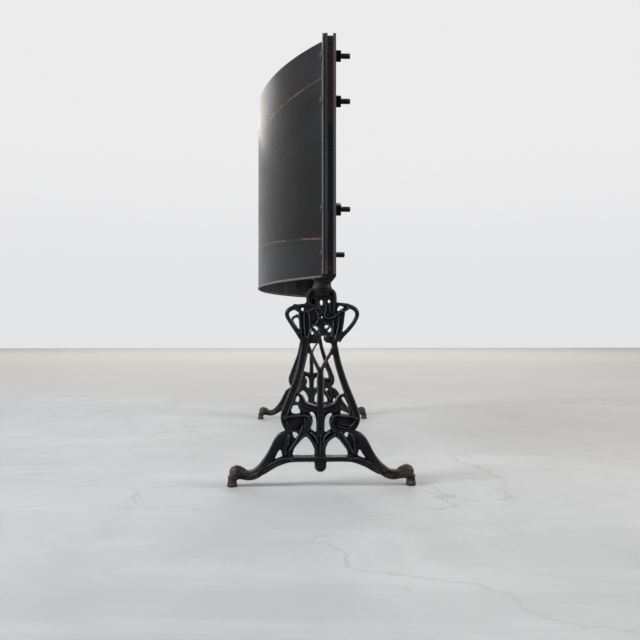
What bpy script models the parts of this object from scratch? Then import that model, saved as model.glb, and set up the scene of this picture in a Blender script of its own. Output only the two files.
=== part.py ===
"""Upright etching press: a bowed japanned sheet-iron platen clamped by its two upright
edges in a channel-iron frame, carried by a pair of pierced cast-iron end frames.
Metres, +Z up, +X right, +Y runs from the near end frame to the far one."""
import math

import bmesh
import bpy
from mathutils import Matrix, Vector

# ---------------------------------------------------------------- driving dimensions
LENGTH = 1.004          # centre to centre of the two end frames along Y
HEIGHT = 0.990          # floor to the top of the posts
FOOT_SPREAD = 0.416     # over the two foot pads of an end frame, along X
PAD_TOP = 0.4617        # floor to the seat on top of an end frame
SAGITTA = 0.175         # how far the platen bows out from its own chord

GAP = 0.0003            # clearance between faces that meet
RUN = 0.00009           # radial running clearance of a shank in its hole

POST_W = 0.0254         # post across X
POST_D = 0.0360         # post along Y
POST_LEFT = 0.0050      # left face of the posts
GROOVE_W = 0.0122
GROOVE_D = 0.0120
SHEET_T = 0.0012
STRIP_T = 0.0030
STRIP_W = 0.0340
BEAD_R = 0.0025
BEND_IN = 0.0020        # how far inside the post the platen starts to bow
BOARD_T = 0.0070
RAIL_W = 0.0150
RAIL_H = 0.0300

BOLT_D = 0.0127
BOLT_INSET = 0.0220     # bolt axis behind the outer face of the post
BOLT_HEAD_R = 0.0132
BOLT_HEAD_H = 0.0050
NUT_AF = 0.0240
NUT_T = 0.0112
NUT_TURN = math.radians(24.0)
BOLT_HEIGHTS = (0.507, 0.608, 0.848, 0.949)
TIP_SHORT = 0.0205      # how far the bare bolt sticks out of the post
TIP_LONG = 0.0330       # how far the others do

SCREW_R = 0.0022
SCREW_HEAD_R = 0.0042
SCREW_LEN = 0.0560
BOARD_SCREW_R = 0.0018
BITE = 0.0100           # how far a board screw goes into its rail
STUD_R = 0.0050

HALF = FOOT_SPREAD / 2.0
Y_END = LENGTH / 2.0
POST_OUT = Y_END + POST_D / 2.0
POST_IN = Y_END - POST_D / 2.0
POST_RIGHT = POST_LEFT + POST_W
POST_FOOT = PAD_TOP + GAP
FLANGE_RIGHT = POST_LEFT - GAP
FLANGE_LEFT = FLANGE_RIGHT - SHEET_T
STRIP_RIGHT = FLANGE_LEFT - GAP
STRIP_LEFT = STRIP_RIGHT - STRIP_T
BOLT_Y = POST_OUT - BOLT_INSET
SHEET_FOOT = PAD_TOP + 0.0015
STUD_X = 0.0150
RAIL_LEFT = POST_LEFT + 0.0030
RAIL_RIGHT = RAIL_LEFT + RAIL_W
BOARD_LEFT = RAIL_RIGHT + GAP

for old in list(bpy.data.objects):
    bpy.data.objects.remove(old, do_unlink=True)

press = bpy.data.collections.new("etching_press")
bpy.context.scene.collection.children.link(press)
cutters = bpy.data.collections.new("cutters")
bpy.context.scene.collection.children.link(cutters)


# ---------------------------------------------------------------- helpers
def material(name, colour, metallic, roughness):
    mat = bpy.data.materials.new(name)
    mat.use_nodes = True
    shader = mat.node_tree.nodes["Principled BSDF"]
    shader.inputs["Base Color"].default_value = (colour[0], colour[1], colour[2], 1.0)
    shader.inputs["Metallic"].default_value = metallic
    shader.inputs["Roughness"].default_value = roughness
    mat.diffuse_color = (colour[0], colour[1], colour[2], 1.0)
    return mat


def mesh_from(bm, name):
    mesh = bpy.data.meshes.new(name)
    bmesh.ops.recalc_face_normals(bm, faces=bm.faces)
    bm.to_mesh(mesh)
    bm.free()
    return mesh


def baked(obj, weld=0.00001):
    """The evaluated mesh of an object, welded, with its transform applied."""
    bpy.context.view_layer.update()
    graph = bpy.context.evaluated_depsgraph_get()
    source = obj.evaluated_get(graph)
    mesh = bpy.data.meshes.new_from_object(source)
    bm = bmesh.new()
    bm.from_mesh(mesh)
    bmesh.ops.transform(bm, matrix=obj.matrix_world, verts=bm.verts)
    bmesh.ops.remove_doubles(bm, verts=bm.verts, dist=weld)
    bm.to_mesh(mesh)
    bm.free()
    return mesh


def place(name, mesh, mat, smooth=True, origin=(0.0, 0.0, 0.0)):
    """A named node; its origin is set on the axis it moves along or turns about."""
    shift = Vector(origin)
    mesh.transform(Matrix.Translation(-shift))
    obj = bpy.data.objects.new(name, mesh)
    obj.location = shift
    press.objects.link(obj)
    mesh.materials.clear()
    mesh.materials.append(mat)
    if smooth:
        mesh.shade_smooth()
        mesh.set_sharp_from_angle(angle=math.radians(38.0))
    return obj


def scratch(name, mesh):
    obj = bpy.data.objects.new(name, mesh)
    obj.hide_render = True
    obj.display_type = "WIRE"
    cutters.objects.link(obj)
    return obj


def combine(base_mesh, tool_mesh, operation):
    """EXACT Boolean of two closed meshes; returns the welded result."""
    base = scratch("base", base_mesh)
    tool = scratch("tool", tool_mesh)
    step = base.modifiers.new("combine", "BOOLEAN")
    step.solver = "EXACT"
    step.operation = operation
    step.object = tool
    result = baked(base, 0.000002)
    bpy.data.objects.remove(base, do_unlink=True)
    bpy.data.objects.remove(tool, do_unlink=True)
    return result


def one_body(mesh):
    """Drop slivers a Boolean can leave: keep the piece with the most vertices."""
    bm = bmesh.new()
    bm.from_mesh(mesh)
    left = set(bm.verts)
    pieces = []
    while left:
        stack = [left.pop()]
        piece = []
        while stack:
            vert = stack.pop()
            piece.append(vert)
            for edge in vert.link_edges:
                other = edge.other_vert(vert)
                if other in left:
                    left.remove(other)
                    stack.append(other)
        pieces.append(piece)
    pieces.sort(key=len)
    for piece in pieces[:-1]:
        bmesh.ops.delete(bm, geom=piece, context="VERTS")
    return mesh_from(bm, "casting")


def tube(points, flat=1.0, order=1):
    """Round bar through (x, y, z, radius) points, flattened along Y, ends capped."""
    curve = bpy.data.curves.new("bar", "CURVE")
    curve.dimensions = "3D"
    curve.fill_mode = "FULL"
    curve.bevel_depth = 1.0
    curve.bevel_resolution = 2
    curve.use_fill_caps = True
    curve.resolution_u = order
    curve.render_resolution_u = 0
    line = curve.splines.new("BEZIER")
    line.bezier_points.add(len(points) - 1)
    for knot, point in zip(line.bezier_points, points):
        knot.co = (point[0], 0.0, point[2])
        knot.radius = point[3]
        knot.handle_left_type = "AUTO"
        knot.handle_right_type = "AUTO"
    obj = scratch("bar", curve)
    mesh = baked(obj)
    bpy.data.objects.remove(obj, do_unlink=True)
    mesh.transform(Matrix.Scale(flat, 4, Vector((0.0, 1.0, 0.0))))
    mesh.transform(Matrix.Translation(Vector((0.0, points[0][1], 0.0))))
    return mesh


def plate(outlines, half, bevel=0.0):
    """Flat plate standing in XZ, first outline outside, the others pierced through."""
    curve = bpy.data.curves.new("plate", "CURVE")
    curve.dimensions = "2D"
    curve.fill_mode = "BOTH"
    curve.extrude = half
    curve.resolution_u = 2
    curve.render_resolution_u = 0
    for outline in outlines:
        line = curve.splines.new("BEZIER")
        line.bezier_points.add(len(outline) - 1)
        line.use_cyclic_u = True
        for knot, point in zip(line.bezier_points, outline):
            knot.co = (point[0], point[1], 0.0)
            knot.handle_left_type = "AUTO"
            knot.handle_right_type = "AUTO"
    obj = scratch("plate", curve)
    obj.rotation_euler = (math.radians(90.0), 0.0, 0.0)
    mesh = baked(obj)
    bpy.data.objects.remove(obj, do_unlink=True)
    if bevel > 0.0:
        bm = bmesh.new()
        bm.from_mesh(mesh)
        rims = [e for e in bm.edges if e.calc_face_angle(0.0) > math.radians(60.0)]
        rims = [e for e in rims if abs(e.verts[0].co.y - e.verts[1].co.y) < 0.0001]
        bmesh.ops.bevel(bm, geom=rims, offset=bevel, segments=1, affect="EDGES")
        mesh = mesh_from(bm, "plate")
    return mesh


def turned(profile, steps, flat=1.0, centre=(0.0, 0.0)):
    """Solid of revolution about a vertical line from a closed (radius, height) profile."""
    bm = bmesh.new()
    rings = []
    for radius, height in profile:
        ring = []
        for step in range(steps):
            turn = 2.0 * math.pi * step / steps
            x = centre[0] + radius * math.cos(turn)
            y = centre[1] + radius * flat * math.sin(turn)
            ring.append(bm.verts.new((x, y, height)))
        rings.append(ring)
    for low, high in zip(rings, rings[1:]):
        for step in range(steps):
            after = (step + 1) % steps
            bm.faces.new((low[step], low[after], high[after], high[step]))
    bm.faces.new(rings[0])
    bm.faces.new(rings[-1])
    return mesh_from(bm, "turned")


def box(x0, x1, y0, y1, z0, z1, bevel=0.0, edges="all"):
    bm = bmesh.new()
    bmesh.ops.create_cube(bm, size=1.0)
    bmesh.ops.scale(bm, vec=(x1 - x0, y1 - y0, z1 - z0), verts=bm.verts)
    middle = ((x0 + x1) / 2.0, (y0 + y1) / 2.0, (z0 + z1) / 2.0)
    bmesh.ops.translate(bm, vec=middle, verts=bm.verts)
    if bevel > 0.0:
        chosen = list(bm.edges)
        if edges == "upright":
            chosen = [e for e in bm.edges if abs(e.verts[0].co.z - e.verts[1].co.z) > 0.001]
        bmesh.ops.bevel(bm, geom=chosen, offset=bevel, segments=2, profile=0.5, affect="EDGES")
    return mesh_from(bm, "box")


def rod(radius, start, end, axis, centre, sides=16):
    """Plain cylinder along X, Y or Z between two stations."""
    bm = bmesh.new()
    ends = {"segments": sides, "radius1": radius, "radius2": radius, "cap_ends": True}
    bmesh.ops.create_cone(bm, depth=end - start, **ends)
    turn = {"X": Matrix.Rotation(math.radians(90.0), 4, "Y"),
            "Y": Matrix.Rotation(math.radians(90.0), 4, "X"),
            "Z": Matrix.Identity(4)}[axis]
    bmesh.ops.transform(bm, matrix=turn, verts=bm.verts)
    middle = (start + end) / 2.0
    place_at = {"X": (middle, centre[0], centre[1]),
                "Y": (centre[0], middle, centre[1]),
                "Z": (centre[0], centre[1], middle)}[axis]
    bmesh.ops.translate(bm, vec=place_at, verts=bm.verts)
    return mesh_from(bm, "rod")


def flipped(mesh, axis):
    """Mirror image of a mesh across the X or Y middle plane."""
    other = mesh.copy()
    bm = bmesh.new()
    bm.from_mesh(other)
    factor = {"X": (-1.0, 1.0, 1.0), "Y": (1.0, -1.0, 1.0)}[axis]
    bmesh.ops.scale(bm, vec=factor, verts=bm.verts)
    bmesh.ops.reverse_faces(bm, faces=bm.faces)
    bm.to_mesh(other)
    bm.free()
    return other


# ---------------------------------------------------------------- materials
iron = material("cast_iron", (0.012, 0.013, 0.015), 0.6, 0.42)
steel = material("channel_steel", (0.020, 0.024, 0.032), 0.7, 0.40)
japan = material("japanned_sheet", (0.035, 0.035, 0.037), 0.3, 0.35)
strip_mat = material("clamp_strip_steel", (0.060, 0.058, 0.056), 0.7, 0.40)
bolt_mat = material("black_bolt_steel", (0.016, 0.015, 0.015), 0.7, 0.45)
nut_mat = material("rusted_nut_steel", (0.055, 0.038, 0.028), 0.6, 0.55)
screw_mat = material("rusted_screw_steel", (0.075, 0.045, 0.030), 0.6, 0.60)
bead_mat = material("bead_iron", (0.050, 0.045, 0.042), 0.6, 0.40)
wood = material("stained_board", (0.060, 0.030, 0.018), 0.0, 0.55)
rail_mat = material("rail_steel", (0.022, 0.022, 0.024), 0.7, 0.45)

# ---------------------------------------------------------------- cast end frame
K = HALF / 0.208        # stretch of the legs with the foot spread


def bar_pair(points, flat, order=1):
    """The same bar on the left and on the right of the casting."""
    one = tube([(u * K, 0.0, z, r) for u, z, r in points], flat, order)
    return [one, flipped(one, "X")]


crown_half = [
    (0.0205, 0.4300), (0.0280, 0.4255), (0.0328, 0.4180), (0.0350, 0.4070), (0.0352, 0.3985),
    (0.0440, 0.3975), (0.0500, 0.3890), (0.0495, 0.3700), (0.0485, 0.3500), (0.0455, 0.3320),
    (0.0405, 0.3170), (0.0330, 0.3120), (0.0200, 0.3100), (0.0110, 0.3120), (0.0060, 0.3180)]
crown = crown_half + [(0.0, 0.3290)] + [(-x, z) for x, z in reversed(crown_half)]


def oval(cx, cz, rx, rz, lean=0.0):
    ring = []
    for step in range(5):
        turn = 2.0 * math.pi * step / 5.0
        x = rx * math.cos(turn)
        z = rz * math.sin(turn)
        across = cx + x * math.cos(lean) - z * math.sin(lean)
        ring.append((across, cz + x * math.sin(lean) + z * math.cos(lean)))
    return ring


crown_plate = plate([crown], 0.0085, 0.0014)
windows = [oval(0.0, 0.4010, 0.0036, 0.0056), oval(0.0, 0.3660, 0.0026, 0.0040)]
for side in (-1.0, 1.0):
    windows.append(oval(0.0170 * side, 0.4030, 0.0028, 0.0042))
    windows.append(oval(0.0150 * side, 0.3390, 0.0050, 0.0078, 0.25 * side))
    windows.append(oval(0.0410 * side, 0.3860, 0.0062, 0.0030, 0.62 * side))
for window in windows:
    crown_plate = combine(crown_plate, plate([window], 0.0200), "DIFFERENCE")
bodies = [crown_plate]

neck = [(0.0190, 0.4180), (0.0215, 0.4300), (0.0205, 0.4370), (0.0195, 0.4450), (0.0205, 0.4510),
        (0.0235, 0.4560), (0.0250, 0.4590), (0.0248, PAD_TOP)]
bodies.append(turned(neck, 24, 0.78))

# scrolls and petal ribs raised on both faces of the crown
bodies += bar_pair([(0.0070, 0.4260, 0.0040), (0.0190, 0.4280, 0.0048), (0.0285, 0.4200, 0.0050),
                    (0.0300, 0.4080, 0.0048), (0.0260, 0.3960, 0.0044), (0.0160, 0.3950, 0.0036)],
                   2.3)
bodies += bar_pair([(0.0435, 0.3860, 0.0040), (0.0455, 0.3680, 0.0044), (0.0430, 0.3400, 0.0046),
                    (0.0365, 0.3180, 0.0048)], 2.3)
bodies += bar_pair([(0.0250, 0.3840, 0.0036), (0.0300, 0.3660, 0.0044), (0.0285, 0.3440, 0.0044),
                    (0.0240, 0.3240, 0.0046)], 2.3)
# ears each side of the crown
bodies += bar_pair([(0.0300, 0.3930, 0.0050), (0.0440, 0.3955, 0.0056), (0.0600, 0.3930, 0.0058),
                    (0.0730, 0.3875, 0.0054), (0.0780, 0.3770, 0.0050), (0.0745, 0.3650, 0.0048),
                    (0.0670, 0.3510, 0.0048), (0.0560, 0.3370, 0.0050), (0.0450, 0.3245, 0.0056),
                    (0.0350, 0.3140, 0.0064)], 1.25, 2)
# upper legs from the waist to the knee
bodies += bar_pair([(0.0330, 0.3450, 0.0070), (0.0318, 0.3180, 0.0082), (0.0325, 0.3000, 0.0080),
                    (0.0375, 0.2700, 0.0092), (0.0440, 0.2450, 0.0100), (0.0540, 0.2150, 0.0104),
                    (0.0660, 0.1860, 0.0104), (0.0745, 0.1640, 0.0108), (0.0765, 0.1460, 0.0108),
                    (0.0715, 0.1280, 0.0100), (0.0600, 0.1130, 0.0085)], 1.2, 2)
# lower legs, ankle and rounded foot
bodies += bar_pair([(0.0640, 0.1080, 0.0080), (0.0800, 0.1040, 0.0125), (0.0950, 0.0870, 0.0118),
                    (0.1055, 0.0670, 0.0116), (0.1220, 0.0440, 0.0120), (0.1400, 0.0280, 0.0125),
                    (0.1560, 0.0225, 0.0117), (0.1700, 0.0240, 0.0116), (0.1800, 0.0268, 0.0140),
                    (0.1890, 0.0275, 0.0160), (0.1980, 0.0270, 0.0120), (0.2035, 0.0265, 0.0040)],
                   1.05, 2)
for side in (-1.0, 1.0):
    pad = [(0.0108, 0.0), (0.0116, 0.0015), (0.0116, 0.0045), (0.0100, 0.0080), (0.0092, 0.0140),
           (0.0095, 0.0220)]
    bodies.append(turned(pad, 16, 1.25, (side * (HALF - 0.0118), 0.0)))
# arched bar across the bottom
sill = [(0.1300, 0.0290, 0.0070), (0.1160, 0.0370, 0.0080), (0.1000, 0.0460, 0.0084),
        (0.0820, 0.0530, 0.0084), (0.0620, 0.0570, 0.0082), (0.0400, 0.0585, 0.0082)]
across = [(u * K, 0.0, z, r) for u, z, r in sill]
across += [(0.0, 0.0, 0.0585, 0.0082)]
across += [(-x, y, z, r) for x, y, z, r in reversed(across[:-1])]
bodies.append(tube(across, 1.2))
# column and the pendant boss under it
bodies.append(tube([(0.0, 0.0, 0.2620, 0.0040), (0.0, 0.0, 0.2480, 0.0078),
                    (0.0, 0.0, 0.2000, 0.0088), (0.0, 0.0, 0.1640, 0.0088),
                    (0.0, 0.0, 0.1460, 0.0066), (0.0, 0.0, 0.1200, 0.0068),
                    (0.0, 0.0, 0.0950, 0.0100), (0.0, 0.0, 0.0640, 0.0128),
                    (0.0, 0.0, 0.0560, 0.0110)], 0.95))
boss = [(0.0050, 0.0278), (0.0100, 0.0300), (0.0128, 0.0350), (0.0136, 0.0410), (0.0130, 0.0470),
        (0.0115, 0.0560)]
bodies.append(turned(boss, 16, 0.95))
# inner branch of the arch over each lower opening
bodies += bar_pair([(0.0030, 0.0700, 0.0060), (0.0080, 0.0880, 0.0062), (0.0150, 0.1020, 0.0060),
                    (0.0240, 0.1100, 0.0056), (0.0340, 0.1135, 0.0054), (0.0440, 0.1150, 0.0052)],
                   1.4)
# diagonals from inside each leaf down to the sill
bodies += bar_pair([(0.0380, 0.1340, 0.0044), (0.0440, 0.1180, 0.0050), (0.0520, 0.1020, 0.0052),
                    (0.0600, 0.0870, 0.0054), (0.0670, 0.0720, 0.0058), (0.0720, 0.0590, 0.0062)],
                   1.5)
# webs that close the haunch between each diagonal and the shin
web = [(0.0600, 0.1010), (0.0680, 0.1120), (0.0830, 0.1080), (0.0880, 0.0940), (0.0850, 0.0800),
       (0.0830, 0.0600), (0.0700, 0.0570), (0.0650, 0.0740)]
for side in (-1.0, 1.0):
    bodies.append(plate([[(x * side * K, z) for x, z in web]], 0.0056))
# hollow leaves: a thin shell with a rolled rim
leaf = [(0.0700, 0.1500), (0.0500, 0.1500), (0.0300, 0.1510), (0.0210, 0.1440), (0.0200, 0.1320),
        (0.0260, 0.1180), (0.0400, 0.1120), (0.0560, 0.1150), (0.0680, 0.1250)]
for side in (-1.0, 1.0):
    bodies.append(plate([[(x * side * K, z) for x, z in leaf]], 0.0040))
bodies += bar_pair([(0.0720, 0.1500, 0.0050), (0.0560, 0.1505, 0.0050), (0.0400, 0.1520, 0.0052),
                    (0.0275, 0.1510, 0.0054), (0.0215, 0.1430, 0.0052), (0.0215, 0.1310, 0.0050),
                    (0.0275, 0.1200, 0.0052), (0.0380, 0.1130, 0.0056), (0.0520, 0.1120, 0.0060)],
                   1.7)
# beaked curls that spring from the column
bodies += bar_pair([(0.0020, 0.1580, 0.0060), (0.0130, 0.1650, 0.0080), (0.0240, 0.1700, 0.0092),
                    (0.0335, 0.1770, 0.0090), (0.0395, 0.1870, 0.0066), (0.0430, 0.1950, 0.0048),
                    (0.0490, 0.1990, 0.0040), (0.0560, 0.1960, 0.0040)], 1.2)
# tendrils that cross down from the waist to the column
bodies += bar_pair([(0.0310, 0.3050, 0.0054), (0.0255, 0.2870, 0.0050), (0.0180, 0.2710, 0.0048),
                    (0.0090, 0.2580, 0.0048), (0.0010, 0.2480, 0.0050)], 1.2)

casting = bodies[0]
for extra in bodies[1:]:
    casting = combine(casting, extra, "UNION")
stud_hole = rod(STUD_R + RUN, PAD_TOP - 0.028, PAD_TOP + 0.005, "Z", (STUD_X, 0.0))
casting = one_body(combine(casting, stud_hole, "DIFFERENCE"))

near_mesh = casting.copy()
near_mesh.transform(Matrix.Translation(Vector((0.0, -Y_END, 0.0))))
far_mesh = flipped(casting, "Y")
far_mesh.transform(Matrix.Translation(Vector((0.0, Y_END, 0.0))))
place("near_end_frame", near_mesh, iron)
place("far_end_frame", far_mesh, iron)

# ---------------------------------------------------------------- posts
post = box(POST_LEFT, POST_RIGHT, -POST_OUT, -POST_IN, POST_FOOT, HEIGHT, 0.0018, "upright")
mid_x = (POST_LEFT + POST_RIGHT) / 2.0
groove = box(mid_x - GROOVE_W / 2.0, mid_x + GROOVE_W / 2.0, -POST_OUT - 0.01,
             -POST_OUT + GROOVE_D, POST_FOOT - 0.01, HEIGHT + 0.01)
post = combine(post, groove, "DIFFERENCE")
for height in BOLT_HEIGHTS:
    hole = rod(BOLT_D / 2.0 + RUN, POST_LEFT - 0.01, POST_RIGHT + 0.01, "X", (-BOLT_Y, height))
    post = combine(post, hole, "DIFFERENCE")
rail_foot = POST_FOOT + 0.0003
rail_zs = (rail_foot + RAIL_H / 2.0, HEIGHT - RAIL_H / 2.0)
screw_x = mid_x
for height in rail_zs:
    hole = rod(SCREW_R + GAP, -POST_OUT - 0.01, -POST_IN + 0.01, "Y", (screw_x, height), 10)
    post = combine(post, hole, "DIFFERENCE")
hole = rod(STUD_R + RUN, POST_FOOT - 0.005, POST_FOOT + 0.0100, "Z", (STUD_X, -Y_END))
post = combine(post, hole, "DIFFERENCE")
far_post = flipped(post, "Y")
place("near_post", post, steel)
place("far_post", far_post, steel)

for end, sign in (("near", -1.0), ("far", 1.0)):
    stud = rod(STUD_R, PAD_TOP - 0.0275, POST_FOOT + 0.0095, "Z", (STUD_X, sign * Y_END))
    place(end + "_seat_stud", stud, bolt_mat)

# ---------------------------------------------------------------- rails, board and screws
rail_len = POST_IN - GAP
for label, height in zip(("bottom", "top"), rail_zs):
    rail = box(RAIL_LEFT, RAIL_RIGHT, -rail_len, rail_len, height - RAIL_H / 2.0,
               height + RAIL_H / 2.0, 0.0010)
    for sign in (-1.0, 1.0):
        ends = sorted((sign * (rail_len + 0.01), sign * (rail_len - 0.0330)))
        hole = rod(SCREW_R + GAP, ends[0], ends[1], "Y", (screw_x, height), 10)
        rail = combine(rail, hole, "DIFFERENCE")
    for y in (-0.36, 0.0, 0.36):
        hole = rod(BOARD_SCREW_R + GAP, RAIL_RIGHT - BITE - GAP, RAIL_RIGHT + 0.01, "X", (y, height), 10)
        rail = combine(rail, hole, "DIFFERENCE")
    place(label + "_rail", rail, rail_mat)

head_y = POST_OUT - GROOVE_D + GAP
for end, sign in (("near", -1.0), ("far", 1.0)):
    for label, height in zip(("bottom", "top"), rail_zs):
        shank = sorted((sign * head_y, sign * (head_y - SCREW_LEN)))
        screw = rod(SCREW_R, shank[0], shank[1], "Y", (screw_x, height), 10)
        head = sorted((sign * head_y, sign * (head_y + 0.0028)))
        cap = rod(SCREW_HEAD_R, head[0], head[1], "Y", (screw_x, height), 14)
        screw = combine(cap, screw, "UNION")
        slot = sorted((sign * (head_y + 0.0014), sign * (head_y + 0.01)))
        cut = box(screw_x - 0.0005, screw_x + 0.0005, slot[0], slot[1], height - 0.01,
                  height + 0.01)
        screw = combine(screw, cut, "DIFFERENCE")
        place(end + "_" + label + "_rail_screw", screw, screw_mat)

board = box(BOARD_LEFT, BOARD_LEFT + BOARD_T, -rail_len, rail_len, rail_foot, HEIGHT, 0.0008)
for height in rail_zs:
    for y in (-0.36, 0.0, 0.36):
        hole = rod(BOARD_SCREW_R + GAP, BOARD_LEFT - 0.01, BOARD_LEFT + BOARD_T + 0.01, "X", (y, height), 10)
        board = combine(board, hole, "DIFFERENCE")
place("backing_board", board, wood)
board_face = BOARD_LEFT + BOARD_T
number = 0
for height in rail_zs:
    for y in (-0.36, 0.0, 0.36):
        number += 1
        shank = rod(BOARD_SCREW_R, RAIL_RIGHT - BITE, board_face + GAP, "X", (y, height), 10)
        dome = rod(0.0036, board_face + GAP, board_face + GAP + 0.0016, "X", (y, height), 14)
        screw = combine(dome, shank, "UNION")
        cut = box(board_face + 0.0011, board_face + 0.01, y - 0.01, y + 0.01, height - 0.0004,
                  height + 0.0004)
        screw = combine(screw, cut, "DIFFERENCE")
        place("board_screw_%d" % number, screw, screw_mat)

# ---------------------------------------------------------------- bowed platen
chord = POST_IN - BEND_IN
sheet_x = (FLANGE_LEFT + FLANGE_RIGHT) / 2.0
radius = (chord * chord + SAGITTA * SAGITTA) / (2.0 * SAGITTA)
centre_x = sheet_x - SAGITTA + radius
sweep = math.asin(chord / radius)
steps = 30


def bow(offset, trim=0.0):
    """Plan of the platen from the near end to the far end, offset outwards."""
    line = []
    span = sweep - trim
    for step in range(steps + 1):
        turn = -span + 2.0 * span * step / steps
        reach = radius + offset
        line.append((centre_x - reach * math.cos(turn), reach * math.sin(turn)))
    return line


outer = [(FLANGE_LEFT, -POST_OUT)] + bow(SHEET_T / 2.0) + [(FLANGE_LEFT, POST_OUT)]
inner = [(FLANGE_RIGHT, -POST_OUT)] + bow(-SHEET_T / 2.0) + [(FLANGE_RIGHT, POST_OUT)]
bm = bmesh.new()
loops = []
for height in (SHEET_FOOT, HEIGHT):
    loops.append(([bm.verts.new((x, y, height)) for x, y in outer],
                  [bm.verts.new((x, y, height)) for x, y in inner]))
count = len(outer)
for i in range(count - 1):
    low_out, low_in = loops[0]
    top_out, top_in = loops[1]
    bm.faces.new((low_out[i], low_out[i + 1], top_out[i + 1], top_out[i]))
    bm.faces.new((low_in[i], low_in[i + 1], top_in[i + 1], top_in[i]))
    bm.faces.new((low_out[i], low_out[i + 1], low_in[i + 1], low_in[i]))
    bm.faces.new((top_out[i], top_out[i + 1], top_in[i + 1], top_in[i]))
for i in (0, count - 1):
    bm.faces.new((low_out[i], low_in[i], top_in[i], top_out[i]))
sheet = mesh_from(bm, "sheet")
square = BOLT_D / 2.0 + GAP
for sign in (-1.0, 1.0):
    for height in BOLT_HEIGHTS:
        y = sign * BOLT_Y
        cut = box(FLANGE_LEFT - 0.003, FLANGE_RIGHT + 0.003, y - square, y + square,
                  height - square, height + square)
        sheet = combine(sheet, cut, "DIFFERENCE")
place("bowed_platen", sheet, japan)

bead_trim = 0.0080
curve = bpy.data.curves.new("bead", "CURVE")
curve.dimensions = "3D"
curve.bevel_depth = BEAD_R
curve.bevel_resolution = 2
curve.use_fill_caps = True
path = bow(0.0, bead_trim)
line = curve.splines.new("POLY")
line.points.add(len(path) - 1)
for knot, point in zip(line.points, path):
    knot.co = (point[0], point[1], SHEET_FOOT - GAP - BEAD_R, 1.0)
obj = scratch("bead", curve)
bead = baked(obj)
bpy.data.objects.remove(obj, do_unlink=True)
place("bottom_rim_bead", bead, bead_mat)

# ---------------------------------------------------------------- clamp strips, bolts, nuts
neck_end = FLANGE_RIGHT - 0.0001
for end, sign in (("near", -1.0), ("far", 1.0)):
    span = sorted((sign * POST_OUT, sign * (POST_OUT - STRIP_W)))
    strip = box(STRIP_LEFT, STRIP_RIGHT, span[0], span[1], SHEET_FOOT, HEIGHT, 0.0004)
    for height in BOLT_HEIGHTS:
        y = sign * BOLT_Y
        cut = box(STRIP_LEFT - 0.003, STRIP_RIGHT + 0.003, y - square, y + square,
                  height - square, height + square)
        strip = combine(strip, cut, "DIFFERENCE")
    place(end + "_clamp_strip", strip, strip_mat)
    for index, height in enumerate(BOLT_HEIGHTS):
        y = sign * BOLT_Y
        bare = end == "near" and index == 0
        tip = POST_RIGHT + (TIP_SHORT if bare else TIP_LONG)
        under = STRIP_LEFT - GAP
        head = [(BOLT_HEAD_R, 0.0), (BOLT_HEAD_R * 0.97, 0.0012), (BOLT_HEAD_R * 0.80, 0.0030),
                (BOLT_HEAD_R * 0.50, 0.0044), (BOLT_HEAD_R * 0.16, BOLT_HEAD_H)]
        dome = turned(head, 16)
        dome.transform(Matrix.Rotation(math.radians(-90.0), 4, "Y"))
        dome.transform(Matrix.Translation(Vector((under, y, height))))
        square_neck = box(under - 0.001, neck_end, y - BOLT_D / 2.0, y + BOLT_D / 2.0,
                          height - BOLT_D / 2.0, height + BOLT_D / 2.0)
        bolt = combine(dome, square_neck, "UNION")
        shank = [(BOLT_D / 2.0 - 0.00002, 0.0), (BOLT_D / 2.0 - 0.00002, tip - under - 0.0016),
                 (BOLT_D / 2.0 - 0.0014, tip - under)]
        stem = turned(shank, 16)
        stem.transform(Matrix.Rotation(math.radians(90.0), 4, "Y"))
        stem.transform(Matrix.Translation(Vector((under - 0.0005, y, height))))
        bolt = combine(bolt, stem, "UNION")
        place("%s_bolt_%d" % (end, index + 1), bolt, bolt_mat, True, (under, y, height))
        if bare:
            continue
        nut_left = POST_RIGHT + GAP
        nut = box(-NUT_AF / 2.0, NUT_AF / 2.0, -NUT_AF / 2.0, NUT_AF / 2.0, 0.0, NUT_T, 0.0009)
        bore_r = (BOLT_D / 2.0 + 0.00002) / math.cos(math.pi / 24.0)
        bore = rod(bore_r, -0.01, NUT_T + 0.01, "Z", (0.0, 0.0), 24)
        nut = combine(nut, bore, "DIFFERENCE")
        nut.transform(Matrix.Rotation(NUT_TURN, 4, "Z"))
        nut.transform(Matrix.Rotation(math.radians(90.0), 4, "Y"))
        nut.transform(Matrix.Translation(Vector((nut_left, y, height))))
        place("%s_nut_%d" % (end, index + 1), nut, nut_mat, True, (nut_left, y, height))
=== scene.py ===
"""Upright etching press: finished castings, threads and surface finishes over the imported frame."""
import math

import bmesh
import bpy
from mathutils import Matrix, Vector


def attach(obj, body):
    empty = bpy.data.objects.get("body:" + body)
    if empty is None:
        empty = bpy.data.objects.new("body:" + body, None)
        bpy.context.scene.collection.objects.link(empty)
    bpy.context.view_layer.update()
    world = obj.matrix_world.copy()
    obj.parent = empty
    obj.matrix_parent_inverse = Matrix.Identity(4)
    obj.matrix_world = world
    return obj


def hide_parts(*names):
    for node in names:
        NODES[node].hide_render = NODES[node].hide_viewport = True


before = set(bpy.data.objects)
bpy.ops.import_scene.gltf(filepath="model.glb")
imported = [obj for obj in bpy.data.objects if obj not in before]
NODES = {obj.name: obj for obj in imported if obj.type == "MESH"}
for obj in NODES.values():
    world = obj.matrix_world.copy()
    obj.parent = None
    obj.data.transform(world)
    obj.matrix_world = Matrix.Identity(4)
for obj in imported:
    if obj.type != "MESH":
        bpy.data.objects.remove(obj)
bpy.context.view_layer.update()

MM = 0.001
NEAR_Y = -0.502          # planes of the two end frames
FAR_Y = 0.502
CASTING_SHIFT = 1.1 * MM  # the casting is drawn about its own middle, then moved this far along X
CASTING_VOXEL = 1.1 * MM


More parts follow.
